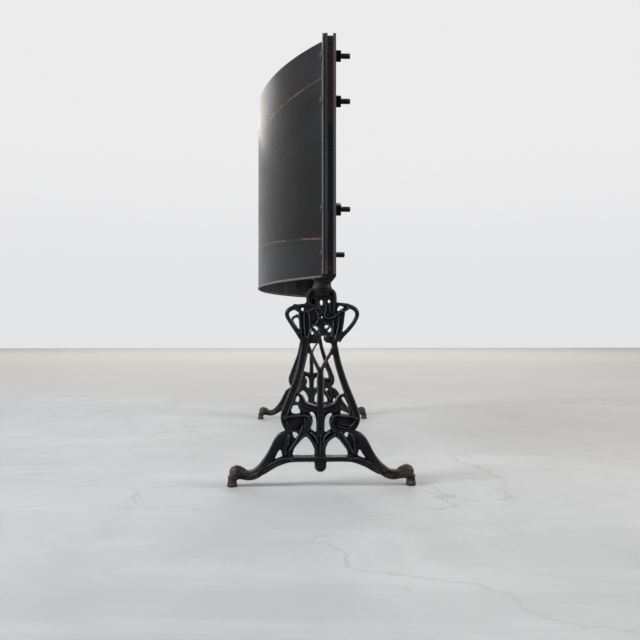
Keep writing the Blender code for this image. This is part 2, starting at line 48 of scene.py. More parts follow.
# ---------------------------------------------------------------- node helpers
class Shader:
    """A small wrapper that adds nodes to one Principled material."""

    def __init__(self, name, roughness, specular):
        self.mat = bpy.data.materials.new(name)
        self.mat.use_nodes = True
        self.tree = self.mat.node_tree
        self.bsdf = self.tree.nodes["Principled BSDF"]
        self.bsdf.inputs["Roughness"].default_value = roughness
        self.bsdf.inputs["Specular IOR Level"].default_value = specular
        self.coord = self.tree.nodes.new("ShaderNodeTexCoord")
        self.geometry = self.tree.nodes.new("ShaderNodeNewGeometry")
        self.axes = self.add("ShaderNodeSeparateXYZ", Vector=self.coord.outputs["Object"])

    def add(self, kind, settings=None, **sockets):
        node = self.tree.nodes.new(kind)
        for key, value in (settings or {}).items():
            setattr(node, key, value)
        for key, value in sockets.items():
            self.put(node.inputs[key.replace("_", " ")], value)
        return node

    def put(self, socket, value):
        if isinstance(value, bpy.types.NodeSocket):
            self.tree.links.new(value, socket)
        else:
            socket.default_value = value

    def noise(self, scale, detail=4.0, rough=0.55, stretch=(1.0, 1.0, 1.0), distortion=0.0):
        place = self.add("ShaderNodeMapping", Vector=self.coord.outputs["Object"])
        place.inputs["Scale"].default_value = stretch
        node = self.add("ShaderNodeTexNoise", Vector=place.outputs[0], Scale=scale, Detail=detail,
                        Roughness=rough, Distortion=distortion)
        return node.outputs["Fac"]

    def math(self, operation, a, b=0.0, clamp=False):
        node = self.add("ShaderNodeMath", {"operation": operation, "use_clamp": clamp})
        self.put(node.inputs[0], a)
        self.put(node.inputs[1], b)
        return node.outputs[0]

    def ramp(self, value, low, high, out_low=0.0, out_high=1.0):
        node = self.add("ShaderNodeMapRange", {"interpolation_type": "SMOOTHSTEP"})
        self.put(node.inputs["Value"], value)
        node.inputs["From Min"].default_value = low
        node.inputs["From Max"].default_value = high
        node.inputs["To Min"].default_value = out_low
        node.inputs["To Max"].default_value = out_high
        return node.outputs["Result"]

    def mix(self, factor, a, b):
        node = self.add("ShaderNodeMix", {"data_type": "RGBA"})
        self.put(node.inputs[0], factor)
        for socket, value in ((node.inputs[6], a), (node.inputs[7], b)):
            if isinstance(value, tuple):
                value = (value[0], value[1], value[2], 1.0)
            self.put(socket, value)
        return node.outputs[2]

    def colour(self, value):
        self.put(self.bsdf.inputs["Base Color"], value)

    def rough(self, value):
        self.put(self.bsdf.inputs["Roughness"], value)

    def bump(self, height, strength=0.3, distance=0.001):
        node = self.add("ShaderNodeBump", Strength=strength, Distance=distance, Height=height)
        self.put(self.bsdf.inputs["Normal"], node.outputs[0])


# ---------------------------------------------------------------- materials
def cast_iron():
    """Black lacquer over cast iron: painted shade in the hollows, brown wear and painted highlights on the
    ridges, rusty feet.
    """
    s = Shader("lacquered_cast_iron", 0.3, 0.50)
    x, _, z = s.axes.outputs
    grain = s.noise(420.0, 5.0, 0.6)
    cloud = s.noise(26.0, 4.0, 0.6)
    worn = s.noise(70.0, 6.0, 0.65)
    low = s.ramp(z, 0.060, 0.010)
    edge = s.ramp(s.geometry.outputs["Pointiness"], 0.515, 0.60)
    rust = s.math("MULTIPLY", s.ramp(worn, 0.42, 0.62), low, True)
    foot = s.math("MULTIPLY", s.ramp(s.math("ABSOLUTE", x), 0.150, 0.200), s.ramp(cloud, 0.30, 0.60))
    rust = s.math("MAXIMUM", rust, s.math("MULTIPLY", foot, 0.75))
    scuff = s.math("MULTIPLY", edge, s.ramp(worn, 0.45, 0.62))
    # painted shade: ambient occlusion turns the reflection down in the hollows
    hollow_shade = s.add("ShaderNodeAmbientOcclusion", {"samples": 6}, Distance=0.016).outputs["AO"]
    s.put(s.bsdf.inputs["Specular IOR Level"], s.ramp(hollow_shade, 0.40, 0.98, 0.02, 0.17))
    black = s.mix(s.ramp(cloud, 0.35, 0.70), (0.0022, 0.0024, 0.0030), (0.0062, 0.0064, 0.0072))
    body = s.mix(s.math("MULTIPLY", scuff, 0.7), black, (0.075, 0.066, 0.056))
    olive = s.math("MULTIPLY", s.ramp(s.noise(9.0, 2.0), 0.52, 0.72), 0.45)
    body = s.mix(olive, body, (0.020, 0.018, 0.012))
    # painted shade: the colour goes near black in the hollows
    body = s.mix(s.ramp(hollow_shade, 0.20, 0.90), (0.0016, 0.0015, 0.0013), body)
    # painted highlight: a pale bluish grey laid on the sharp ridges
    ridge_highlight = s.ramp(s.geometry.outputs["Pointiness"], 0.504, 0.550)
    body = s.mix(s.math("MULTIPLY", ridge_highlight, s.ramp(cloud, 0.25, 0.60, 0.35, 1.0)), body, (0.064, 0.065, 0.072))
    s.colour(s.mix(rust, body, (0.082, 0.062, 0.050)))
    gloss = s.ramp(worn, 0.35, 0.65, 0.17, 0.32)
    gloss = s.math("ADD", gloss, s.ramp(z, 0.412, 0.428, 0.0, 0.30))
    s.rough(s.math("ADD", gloss, s.math("MULTIPLY", rust, 0.28), True))
    tall = s.math("ADD", s.math("MULTIPLY", grain, 0.06), worn)
    s.bump(tall, 0.22, 0.0022)
    return s.mat


def channel_steel():
    """Blue-black rolled channel with painted shade in its groove, a painted highlight along its right flange,
    and patches of rust.
    """
    s = Shader("blue_black_channel", 0.38, 0.16)
    x, y, z = s.axes.outputs
    blot = s.noise(38.0, 6.0, 0.62, (1.0, 1.0, 0.45))
    fine = s.noise(260.0, 5.0, 0.6)
    low = s.ramp(z, 0.500, 0.466)
    high = s.ramp(z, 0.740, 0.850)
    amount = s.math("MAXIMUM", low, s.math("MULTIPLY", high, 0.62))
    reach = s.math("ABSOLUTE", y)
    groove = s.ramp(s.math("ABSOLUTE", s.math("SUBTRACT", x, 0.0177)), 0.0064, 0.0058)
    patch = s.ramp(s.math("ADD", blot, s.math("MULTIPLY", amount, 0.27)), 0.575, 0.655)
    right = s.ramp(x, 0.0225, 0.0250)
    patch = s.math("MULTIPLY", patch, s.math("MAXIMUM", groove, s.math("MULTIPLY", right, high)))
    patch = s.math("MAXIMUM", patch, s.math("MULTIPLY", low, s.ramp(fine, 0.30, 0.55)))
    paint = s.mix(s.ramp(s.noise(30.0, 3.0, 0.5, (1.0, 1.0, 0.15)), 0.35, 0.70),
                  (0.025, 0.029, 0.036), (0.056, 0.062, 0.072))
    # painted shade: the groove goes near black, except further than 0.52 m along Y from the middle
    paint = s.mix(s.math("MULTIPLY", groove, s.ramp(reach, 0.521, 0.519)), paint, (0.0070, 0.0066, 0.0064))
    # painted highlight: the right flange is paler
    paint = s.mix(s.math("MULTIPLY", s.ramp(x, 0.0225, 0.0250), 0.75), paint, (0.095, 0.095, 0.101))
    iron_rust = s.mix(fine, (0.050, 0.032, 0.028), (0.165, 0.112, 0.100))
    s.colour(s.mix(patch, paint, iron_rust))
    s.rough(s.ramp(patch, 0.0, 1.0, 0.34, 0.72))
    s.bump(s.math("ADD", fine, s.math("MULTIPLY", patch, 0.8)), 0.30, 0.0006)
    return s.mat


def japanned():
    """Black japan with two faded gilt lines outside, dusty and streaked inside."""
    s = Shader("japanned_sheet_iron", 0.28, 0.12)
    _, y, z = s.axes.outputs
    cloud = s.noise(5.5, 5.0, 0.6, (1.0, 1.0, 2.2))
    fine = s.noise(190.0, 4.0, 0.6)
    scratch = s.noise(60.0, 3.0, 0.7, (1.0, 1.0, 14.0))
    ratio = s.math("DIVIDE", y, 0.484)
    arch = s.math("MULTIPLY", s.math("SUBTRACT", 1.0, s.math("MULTIPLY", ratio, ratio)), 0.027)
    low_line = s.math("ABSOLUTE", s.math("SUBTRACT", z, s.math("ADD", arch, 0.545)))
    top_line = s.math("ABSOLUTE", s.math("SUBTRACT", z, s.math("SUBTRACT", 0.908, arch)))
    line = s.ramp(s.math("MINIMUM", low_line, top_line), 0.0026, 0.0014)
    wear = s.ramp(s.noise(30.0, 5.0, 0.7, (0.4, 0.4, 1.0)), 0.36, 0.64, 0.10, 0.75)
    line = s.math("MULTIPLY", line, wear)
    below = s.math("MULTIPLY", s.ramp(z, 0.560, 0.535), 0.55)
    black = s.mix(s.ramp(cloud, 0.30, 0.70), (0.0058, 0.0056, 0.0057), (0.0100, 0.0098, 0.0099))
    black = s.mix(below, black, (0.020, 0.0215, 0.023))
    outside = s.mix(line, black, (0.170, 0.096, 0.056))
    streak = s.noise(34.0, 5.0, 0.65, (1.0, 1.0, 0.12))
    inner_tone = s.mix(s.ramp(streak, 0.35, 0.65), (0.066, 0.058, 0.052), (0.145, 0.136, 0.127))
    facing = s.add("ShaderNodeSeparateXYZ", Vector=s.coord.outputs["Normal"])
    inside = s.ramp(facing.outputs[0], 0.02, 0.10)
    s.colour(s.mix(inside, outside, inner_tone))
    base = s.ramp(cloud, 0.30, 0.70, 0.25, 0.31)
    s.rough(s.math("ADD", base, s.math("MULTIPLY", inside, 0.22), True))
    tall = s.math("ADD", s.math("MULTIPLY", fine, 0.25), s.math("MULTIPLY", scratch, 0.20))
    tall = s.math("ADD", tall, s.math("MULTIPLY", s.noise(2.6, 1.0), 3.0))
    s.bump(tall, 0.16, 0.0006)
    return s.mat


def worn_steel(name, dark, light, rough, rust_share, rust_tone=(0.120, 0.072, 0.048), scale=90.0):
    """Mottled steel with rust in patches and along its edges."""
    s = Shader(name, rough, 0.5)
    fine = s.noise(scale * 4.0, 5.0, 0.6)
    blot = s.noise(scale, 6.0, 0.65)
    edge = s.ramp(s.geometry.outputs["Pointiness"], 0.52, 0.64)
    patch = s.ramp(blot, 0.78 - rust_share * 0.5, 0.90 - rust_share * 0.5)
    patch = s.math("MAXIMUM", patch, s.math("MULTIPLY", edge, 0.45))
    paint = s.mix(fine, dark, light)
    s.colour(s.mix(patch, paint, rust_tone))
    s.rough(s.ramp(patch, 0.0, 1.0, rough, min(rough + 0.28, 0.9)))
    s.bump(s.math("ADD", fine, blot), 0.30, 0.0004)
    return s.mat


def square_nut_iron():
    """Rust brown, with painted light on the faces that look up and painted shade, near black and barely
    reflecting, on those that look down.
    """
    s = Shader("rusted_nut_with_painted_top_light", 0.45, 0.4)
    fine = s.noise(320.0, 5.0, 0.6)
    facing = s.add("ShaderNodeSeparateXYZ", Vector=s.coord.outputs["Normal"])
    # painted light and shade: faces that look up are pale rust brown, faces that look down near black
    painted_top_light = s.ramp(facing.outputs[2], -0.10, 0.45)
    light = s.mix(fine, (0.045, 0.034, 0.028), (0.120, 0.092, 0.076))
    s.colour(s.mix(painted_top_light, (0.0030, 0.0028, 0.0027), light))
    # painted shade: faces that look down barely reflect
    s.put(s.bsdf.inputs["Specular IOR Level"], s.ramp(facing.outputs[2], -0.2, 0.4, 0.05, 0.45))
    s.bump(fine, 0.30, 0.0004)
    return s.mat


def stained_wood():
    """Dark stained board with a fine horizontal grain."""
    s = Shader("stained_board_wood", 0.48, 0.5)
    place = s.add("ShaderNodeMapping", Vector=s.coord.outputs["Object"])
    place.inputs["Scale"].default_value = (8.0, 1.1, 30.0)
    wave = s.add("ShaderNodeTexWave", {"bands_direction": "Z"}, Vector=place.outputs[0], Scale=1.6,
                 Distortion=7.0, Detail=4.0)
    wave.inputs["Detail Scale"].default_value = 1.4
    pores = s.noise(120.0, 4.0, 0.6, (1.0, 0.06, 1.0))
    tone = s.mix(wave.outputs["Fac"], (0.042, 0.027, 0.019), (0.072, 0.048, 0.034))
    s.colour(s.mix(s.ramp(pores, 0.48, 0.68, 0.0, 0.6), tone, (0.024, 0.016, 0.012)))
    s.rough(s.ramp(pores, 0.3, 0.7, 0.40, 0.58))
    s.bump(pores, 0.25, 0.0006)
    return s.mat


def concrete():
    """Pale floor with clouds, trowel streaks and faint cracks."""
    s = Shader("pale_floor", 0.55, 0.20)
    _, y, _ = s.axes.outputs
    cloud = s.noise(0.9, 5.0, 0.6)
    speck = s.noise(7.0, 7.0, 0.72, (1.0, 0.45, 1.0))
    streak = s.noise(1.6, 6.0, 0.7, (0.5, 1.6, 1.0), 1.2)
    tone = s.mix(s.ramp(cloud, 0.30, 0.70), (0.372, 0.369, 0.362), (0.428, 0.426, 0.419))
    tone = s.mix(s.ramp(speck, 0.40, 0.75, 0.0, 0.40), tone, (0.330, 0.326, 0.318))
    tone = s.mix(s.ramp(streak, 0.50, 0.60, 0.0, 0.28), tone, (0.500, 0.497, 0.489))
    crack = s.add("ShaderNodeTexVoronoi", {"feature": "DISTANCE_TO_EDGE"},
                  Vector=s.add("ShaderNodeVectorMath", {"operation": "ADD"}).outputs[0], Scale=0.85)
    warp = crack.inputs["Vector"].links[0].from_node
    s.put(warp.inputs[0], s.coord.outputs["Object"])
    s.put(warp.inputs[1], s.add("ShaderNodeTexNoise", Vector=s.coord.outputs["Object"], Scale=2.4,
                                Detail=6.0).outputs["Color"])
    hair = s.ramp(crack.outputs["Distance"], 0.0075, 0.0015, 0.0, 0.40)
    tone = s.mix(s.math("MULTIPLY", hair, s.ramp(cloud, 0.45, 0.60)), tone, (0.26, 0.25, 0.24))
    # painted light: the floor grows paler and warmer towards the back
    s.colour(s.mix(s.ramp(y, 0.4, 3.0, 0.0, 0.8), tone, (0.520, 0.501, 0.473)))
    s.bump(speck, 0.05, 0.002)
    return s.mat


IRON = cast_iron()
CHANNEL = channel_steel()
JAPAN = japanned()
STRIP = worn_steel("worn_strip_steel", (0.050, 0.049, 0.048), (0.140, 0.135, 0.129), 0.42, 0.30)
BLACK_BOLT = worn_steel("blackened_bolt", (0.0030, 0.0030, 0.0032), (0.0085, 0.0080, 0.0075), 0.42, 0.08,
                        (0.030, 0.020, 0.015))
BLACK_BOLT.node_tree.nodes["Principled BSDF"].inputs["Specular IOR Level"].default_value = 0.22
NUT_RUST_AND_TOP_LIGHT = square_nut_iron()
RUST_SCREW = worn_steel("rusted_screw", (0.030, 0.018, 0.012), (0.110, 0.062, 0.040), 0.62, 0.60)
# partly wear, partly painted highlight: the rolled edge is far paler than the sheet
BEAD = worn_steel("wire_edge_wear_and_highlight", (0.065, 0.058, 0.053), (0.150, 0.134, 0.122), 0.42, 0.35)
RAIL = worn_steel("black_rail_paint", (0.012, 0.012, 0.013), (0.026, 0.025, 0.025), 0.45, 0.20)
WOOD = stained_wood()

FINISH = {"near_post": CHANNEL, "far_post": CHANNEL, "bowed_platen": JAPAN,
          "near_clamp_strip": STRIP, "far_clamp_strip": STRIP, "bottom_rim_bead": BEAD,
          "bottom_rail": RAIL, "top_rail": RAIL, "backing_board": WOOD,
          "near_seat_stud": BLACK_BOLT, "far_seat_stud": BLACK_BOLT}


def finish_node(name, mat):
    mesh = NODES[name].data
    mesh.materials.clear()
    mesh.materials.append(mat)


for name in NODES:
    if name in FINISH:
        finish_node(name, FINISH[name])
    elif "screw" in name:
        finish_node(name, RUST_SCREW)
    elif "bolt" in name:
        finish_node(name, BLACK_BOLT)
    elif "nut" in name:
        finish_node(name, NUT_RUST_AND_TOP_LIGHT)


# ---------------------------------------------------------------- mesh helpers
def link(name, mesh, mat, smooth=True):
    obj = bpy.data.objects.new(name, mesh)
    bpy.context.scene.collection.objects.link(obj)
    mesh.materials.clear()
    mesh.materials.append(mat)
    if smooth:
        mesh.shade_smooth()
    return obj


def baked(bm, name):
    """Turn a bmesh into a mesh."""
    mesh = bpy.data.meshes.new(name)
    bm.to_mesh(mesh)
    bm.free()
    return mesh


def evaluated(data, name):
    """Mesh of a curve, through an object that is removed again."""
    obj = bpy.data.objects.new(name, data)
    bpy.context.scene.collection.objects.link(obj)
    bpy.context.view_layer.update()
    mesh = bpy.data.meshes.new_from_object(obj.evaluated_get(bpy.context.evaluated_depsgraph_get()))
    bpy.data.objects.remove(obj, do_unlink=True)
    return mesh


def tube_faces(bm, rows):
    """Close a stack of equal rings into side walls."""
    count = len(rows[0])
    for low, high in zip(rows, rows[1:]):
        for i in range(count):
            after = (i + 1) % count
            bm.faces.new((low[i], low[after], high[after], high[i]))


def bar_mesh(points, flat=1.0, y=0.0):
    """Closed round bar through (x, z, radius) knots in millimetres, its depth scaled by flat."""
    curve = bpy.data.curves.new("bar", "CURVE")
    curve.dimensions = "3D"
    curve.fill_mode = "FULL"
    curve.bevel_depth = MM
    curve.bevel_resolution = 3
    curve.use_fill_caps = True
    curve.resolution_u = 7
    line = curve.splines.new("BEZIER")
    line.bezier_points.add(len(points) - 1)
    for knot, point in zip(line.bezier_points, points):
        knot.co = (point[0] * MM, 0.0, point[1] * MM)
        knot.radius = point[2]
        knot.handle_left_type = "AUTO"
        knot.handle_right_type = "AUTO"
    mesh = evaluated(curve, "bar")
    mesh.transform(Matrix.Scale(flat, 4, Vector((0.0, 1.0, 0.0))))
    mesh.transform(Matrix.Translation(Vector((0.0, y * MM, 0.0))))
    return mesh


def slab_mesh(outline, half, y=0.0, holes=()):
    """Flat plate standing in XZ, in millimetres, with smooth outlines and pierced holes."""
    curve = bpy.data.curves.new("slab", "CURVE")
    curve.dimensions = "2D"
    curve.fill_mode = "BOTH"
    curve.extrude = half * MM
    curve.resolution_u = 6
    for ring in (outline,) + tuple(holes):
        line = curve.splines.new("BEZIER")
        line.bezier_points.add(len(ring) - 1)
        line.use_cyclic_u = True
        for knot, point in zip(line.bezier_points, ring):
            knot.co = (point[0] * MM, point[1] * MM, 0.0)
            knot.handle_left_type = "AUTO"
            knot.handle_right_type = "AUTO"
    mesh = evaluated(curve, "slab")
    mesh.transform(Matrix.Rotation(math.radians(90.0), 4, "X"))
    mesh.transform(Matrix.Translation(Vector((0.0, y * MM, 0.0))))
    return mesh


def ball_mesh(x, y, z, rx, ry, rz):
    """Ellipsoid in millimetres."""
    bm = bmesh.new()
    bmesh.ops.create_uvsphere(bm, u_segments=24, v_segments=16, radius=MM)
    bmesh.ops.scale(bm, vec=(rx, ry, rz), verts=bm.verts)
    bmesh.ops.translate(bm, vec=(x * MM, y * MM, z * MM), verts=bm.verts)
    return baked(bm, "ball")


def lathe_mesh(profile, steps, flat=1.0, x=0.0, y=0.0, tilt=0.0):
    """Solid of revolution in millimetres; tilt drops its left side as the height grows."""
    bm = bmesh.new()
    rings = []
    for radius, height in profile:
        ring = []
        for step in range(steps):
            turn = 2.0 * math.pi * step / steps
            drop = tilt * max(0.0, height - 448.0) * math.cos(turn)
            ring.append(bm.verts.new(((x + radius * math.cos(turn)) * MM,
                                      (y + radius * flat * math.sin(turn)) * MM,
                                      (height + drop) * MM)))
        rings.append(ring)
    tube_faces(bm, rings)
    bm.faces.new(rings[0])
    bm.faces.new(rings[-1])
    bmesh.ops.recalc_face_normals(bm, faces=bm.faces)
    return baked(bm, "lathe")


class Casting:
    """Collects closed solids, then fuses them into one skin with soft cast corners."""

    def __init__(self):
        self.bm = bmesh.new()
        self.cuts = bmesh.new()

    def take(self, mesh):
        self.bm.from_mesh(mesh)
        bpy.data.meshes.remove(mesh)

    def bar(self, points, flat=1.0, y=0.0):
        self.take(bar_mesh(points, flat, y))

    def slab(self, outline, half, y=0.0, holes=()):
        self.take(slab_mesh(outline, half, y, holes))

    def ball(self, x, z, rx, ry, rz, y=0.0):
        self.take(ball_mesh(x, y, z, rx, ry, rz))

    def rib(self, points, flat, rise):
        """A raised line on the front and the same one on the back."""
        self.bar(points, flat, -rise)
        self.bar(points, flat, rise)

    def pierce(self, outline):
        """Open the casting right through along a closed outline."""
        front = [self.cuts.verts.new((x * MM, -0.05, z * MM)) for x, z in outline]
        back = [self.cuts.verts.new((x * MM, 0.05, z * MM)) for x, z in outline]
        self.cuts.faces.new(front)
        self.cuts.faces.new(back[::-1])
        for i in range(len(outline)):
            after = (i + 1) % len(outline)
            self.cuts.faces.new((front[after], front[i], back[i], back[after]))

    def skin(self, voxel, smooth):
        """Fuse the solids, cut the openings and soften the result."""
        bmesh.ops.recalc_face_normals(self.cuts, faces=self.cuts.faces)
        obj = bpy.data.objects.new("casting", baked(self.bm, "casting"))
        tool = bpy.data.objects.new("cuts", baked(self.cuts, "cuts"))
        bpy.context.scene.collection.objects.link(obj)
        bpy.context.scene.collection.objects.link(tool)
        fuse = obj.modifiers.new("fuse", "REMESH")
        fuse.mode = "VOXEL"
        fuse.voxel_size = voxel
        cut = obj.modifiers.new("pierce", "BOOLEAN")
        cut.operation = "DIFFERENCE"
        cut.solver = "MANIFOLD"
        cut.object = tool
        again = obj.modifiers.new("again", "REMESH")
        again.mode = "VOXEL"
        again.voxel_size = voxel
        soft = obj.modifiers.new("soft", "SMOOTH")
        soft.factor = 0.5
        soft.iterations = smooth
        bpy.context.view_layer.update()
        graph = bpy.context.evaluated_depsgraph_get()
        result = bpy.data.meshes.new_from_object(obj.evaluated_get(graph))
        for spent in (obj, tool):
            bpy.data.objects.remove(spent, do_unlink=True)
        return result


# ---------------------------------------------------------------- cast end frame
def crown(c):
    """Neck, scrolls, ears and the pierced petals between them."""
    c.take(lathe_mesh([(18.5, 416), (21, 427), (21.6, 433), (20.4, 437.5), (18, 442),
                       (17.6, 446), (19, 450), (21.6, 453), (22.6, 455.5), (21.8, 457)],
                      40, 0.80, -1, 0, 0.22))
    c.slab([(-4, 450), (8, 446), (18, 445.5), (24, 451), (28.5, 457),
            (30, 461.2), (14, 461.2), (-1, 461.2), (-3.5, 456)], 15.5)
    outline = [(-3, 424), (4, 427), (14, 431), (23, 429), (29, 420),
               (30.5, 408), (32, 401.5), (40, 400), (48, 397), (50.5, 390),
               (50, 380), (48, 366), (45.5, 350), (42, 338), (37, 324),
               (32.5, 312), (31.5, 304), (21, 304), (18, 311), (10, 312.5),
               (4.5, 317), (2.5, 325), (0, 331), (-3.5, 332), (-5.5, 326),
               (-8, 316), (-15, 311), (-27, 310.5), (-29.5, 304), (-48, 304),
               (-48.5, 318), (-49.5, 335), (-51.5, 352), (-52, 372), (-52.5, 386),
               (-52, 396), (-42, 398), (-37, 401), (-35.5, 412), (-31, 424),
               (-21, 431), (-10, 429)]
    gap = [(-2.7, 407), (0, 403.8), (0.2, 398.6), (-2.2, 394.6), (-5, 397.8), (-5.6, 403.2)]
    left_eye = [(-20, 410.5), (-16.8, 406), (-17, 400.5), (-20, 398.5), (-23.4, 401),
                (-23.4, 407)]
    right_eye = [(14.4, 407.6), (16.8, 404.8), (16.5, 401), (14.3, 399.4), (12.2, 401.6),
                 (11.9, 405.4)]
    left_slot = [(-50.4, 389.4), (-44.6, 390), (-39.8, 386), (-40.6, 382.6), (-45.6, 383.6)]
    right_slot = [(33, 383), (35, 390.6), (41.5, 396), (50.5, 392.6), (44.5, 388.8),
                  (38.5, 385)]
    drop = [(-3, 371.6), (-0.2, 369.5), (-1.6, 364.5), (-4.8, 364), (-5.6, 368)]
    left_pane = [(-25.8, 334), (-25, 342.6), (-19, 348.6), (-10, 348), (-6.2, 342),
                 (-7, 334.5), (-12, 330), (-20, 329.8)]
    right_pane = [(2.2, 347.4), (6, 351), (13.5, 349.8), (18.4, 345), (17.6, 337),
                  (12.8, 336.2), (10.2, 343), (5, 345)]
    holes = (gap, left_eye, right_eye, left_slot, right_slot, drop, left_pane, right_pane)
    c.slab(outline, 4.2, 0, holes)
    c.ball(-20, 404.5, 5.5, 2.2, 8, 6)
    # left scroll coils round a blind eye; the right one is a hairpin band with an open eye
    c.bar([(-5, 422, 3.4), (-10, 427, 4.4), (-18, 428.2, 5), (-26, 424.6, 5),
           (-30.4, 416, 5.2), (-31, 406, 5), (-28.4, 398.6, 4.2), (-21, 394.4, 3.6),
           (-13.6, 397.2, 3), (-11.6, 404, 2.8), (-13, 411, 2.6)], 2.1)
    c.rib([(-10, 430, 1.5), (-19, 431.4, 1.6), (-28.6, 427, 1.6), (-34.2, 417, 1.5),
           (-34.8, 406, 1.4)], 1.6, 7)
    c.bar([(1, 421, 3), (7, 427, 4), (16, 428.4, 4.8), (23.6, 424, 5.2),
           (26.2, 414, 5.4), (26, 400, 5.4), (25.4, 386, 5.2), (25, 374, 4.6)], 1.9)
    c.bar([(2.8, 416, 2.6), (4.6, 408, 2.4), (5.6, 400, 2.6), (7.4, 394, 3.2),
           (8, 386, 3.4), (6, 378, 2.8)], 2.6)
    c.rib([(16.6, 397, 1.3), (17.4, 388, 1.5), (17.6, 377, 1.5)], 2.2, 5)
    c.bar([(-8.4, 414, 2.2), (-8.8, 404, 2.2), (-8.4, 394, 3), (-6, 386, 3.4),
           (-7, 378, 2.6)], 2.4)
    # ears with knuckles
    c.bar([(-30, 394, 4.2), (-40, 394.6, 4.2), (-50, 393, 5), (-60, 390.6, 5.8),
           (-69, 387.6, 5.4), (-76.6, 381.4, 5.2), (-77.8, 373, 4.8), (-72, 361.4, 4.8),
           (-62.6, 347, 4.8), (-53.6, 333.4, 5), (-45, 319, 5)], 1.45)
    c.ball(-60.5, 393.6, 5.6, 7.5, 4.6)
    c.ball(-69.5, 389.6, 4.4, 6.4, 3.6)
    c.bar([(30, 398, 4), (38, 397.6, 3.8), (47, 396, 4.6), (56, 393.4, 5.6),
           (66, 390, 5.4), (74.6, 383, 5.2), (76.4, 374, 4.8), (72, 362, 4.7),
           (64, 350, 4.7), (53.6, 338, 4.8), (43.6, 328, 5), (35, 316, 5.2)], 1.45)
    c.ball(54, 396, 5, 7, 4)
    c.ball(63.5, 393, 4.6, 6.6, 3.6)
    # sweeps from the ears across the petals
    c.rib([(-60, 388, 3.4), (-53, 382.6, 3), (-44, 379.6, 2.8), (-34, 380.6, 2.6),
           (-25, 385, 2.6), (-15, 388.6, 2.4), (-8, 386, 2.2)], 1.5, 5)
    c.rib([(58, 389, 3.2), (50, 383.6, 2.6), (41, 382, 2.3), (33.6, 375.6, 2.3),
           (25.6, 369.4, 2.2), (15.6, 366.2, 2), (8, 367.8, 1.8), (4, 372.6, 1.6),
           (6, 377, 1.5)], 1.5, 7.4)
    # petals
    c.bar([(-50, 390, 3), (-49.6, 375, 3.4), (-48.4, 355, 3.6), (-46.4, 335, 4),
           (-44, 314, 4.6)], 2)
    c.rib([(-41.4, 381, 1.9), (-40.6, 368, 2.1), (-40, 350, 2.2), (-38.6, 335, 2.4),
           (-37.4, 322, 2.4)], 1.6, 6)
    c.rib([(-30.6, 378, 1.9), (-28.4, 364, 2.1), (-28.2, 350, 2.1), (-29.4, 337, 2.4),
           (-32, 322, 3)], 1.6, 6.4)
    c.rib([(-16, 384, 1.8), (-11.6, 377, 2.1), (-9.2, 368, 2.3), (-11.4, 358.4, 2.3),
           (-17, 352, 2.2), (-25, 350.2, 2)], 1.6, 6.4)
    c.ball(-20, 365, 7, 6.5, 12)
    c.bar([(-18, 330, 1.8), (-18.2, 336, 2), (-18, 341, 1.6)], 2)
    c.ball(-34, 322, 11, 8, 10)
    c.ball(-17, 320, 10, 8, 8.6)
    c.bar([(47.6, 380, 2.6), (45.6, 364, 2.8), (43, 348, 3.2), (38.6, 332, 3.8),
           (33, 316, 4.6)], 2.2)
    c.rib([(35.6, 371, 2), (34.8, 354, 2.3), (31.6, 336, 2.6), (27.4, 318, 3.2)], 1.6, 6)
    c.rib([(22, 362, 2), (24, 350, 2.3), (22.6, 338, 2.4), (20, 326, 2.8)], 1.6, 5.6)
    c.rib([(2, 357, 1.8), (8.6, 355.4, 2), (15, 353.4, 2), (20.6, 347.6, 2)], 1.6, 5)
    c.ball(11, 323, 9, 9, 10.6)
    c.ball(26, 322, 7, 8.5, 14)
    c.rib([(-1, 376.6, 1.5), (-4.8, 374.6, 1.5), (-5.6, 378.8, 1.5), (-1.6, 380.8, 1.5),
           (1.8, 377.6, 1.4)], 2, 4.6)
    c.ball(11.8, 373.4, 3.2, 9, 2.8)
    c.ball(3.4, 368.6, 1.8, 8, 4)


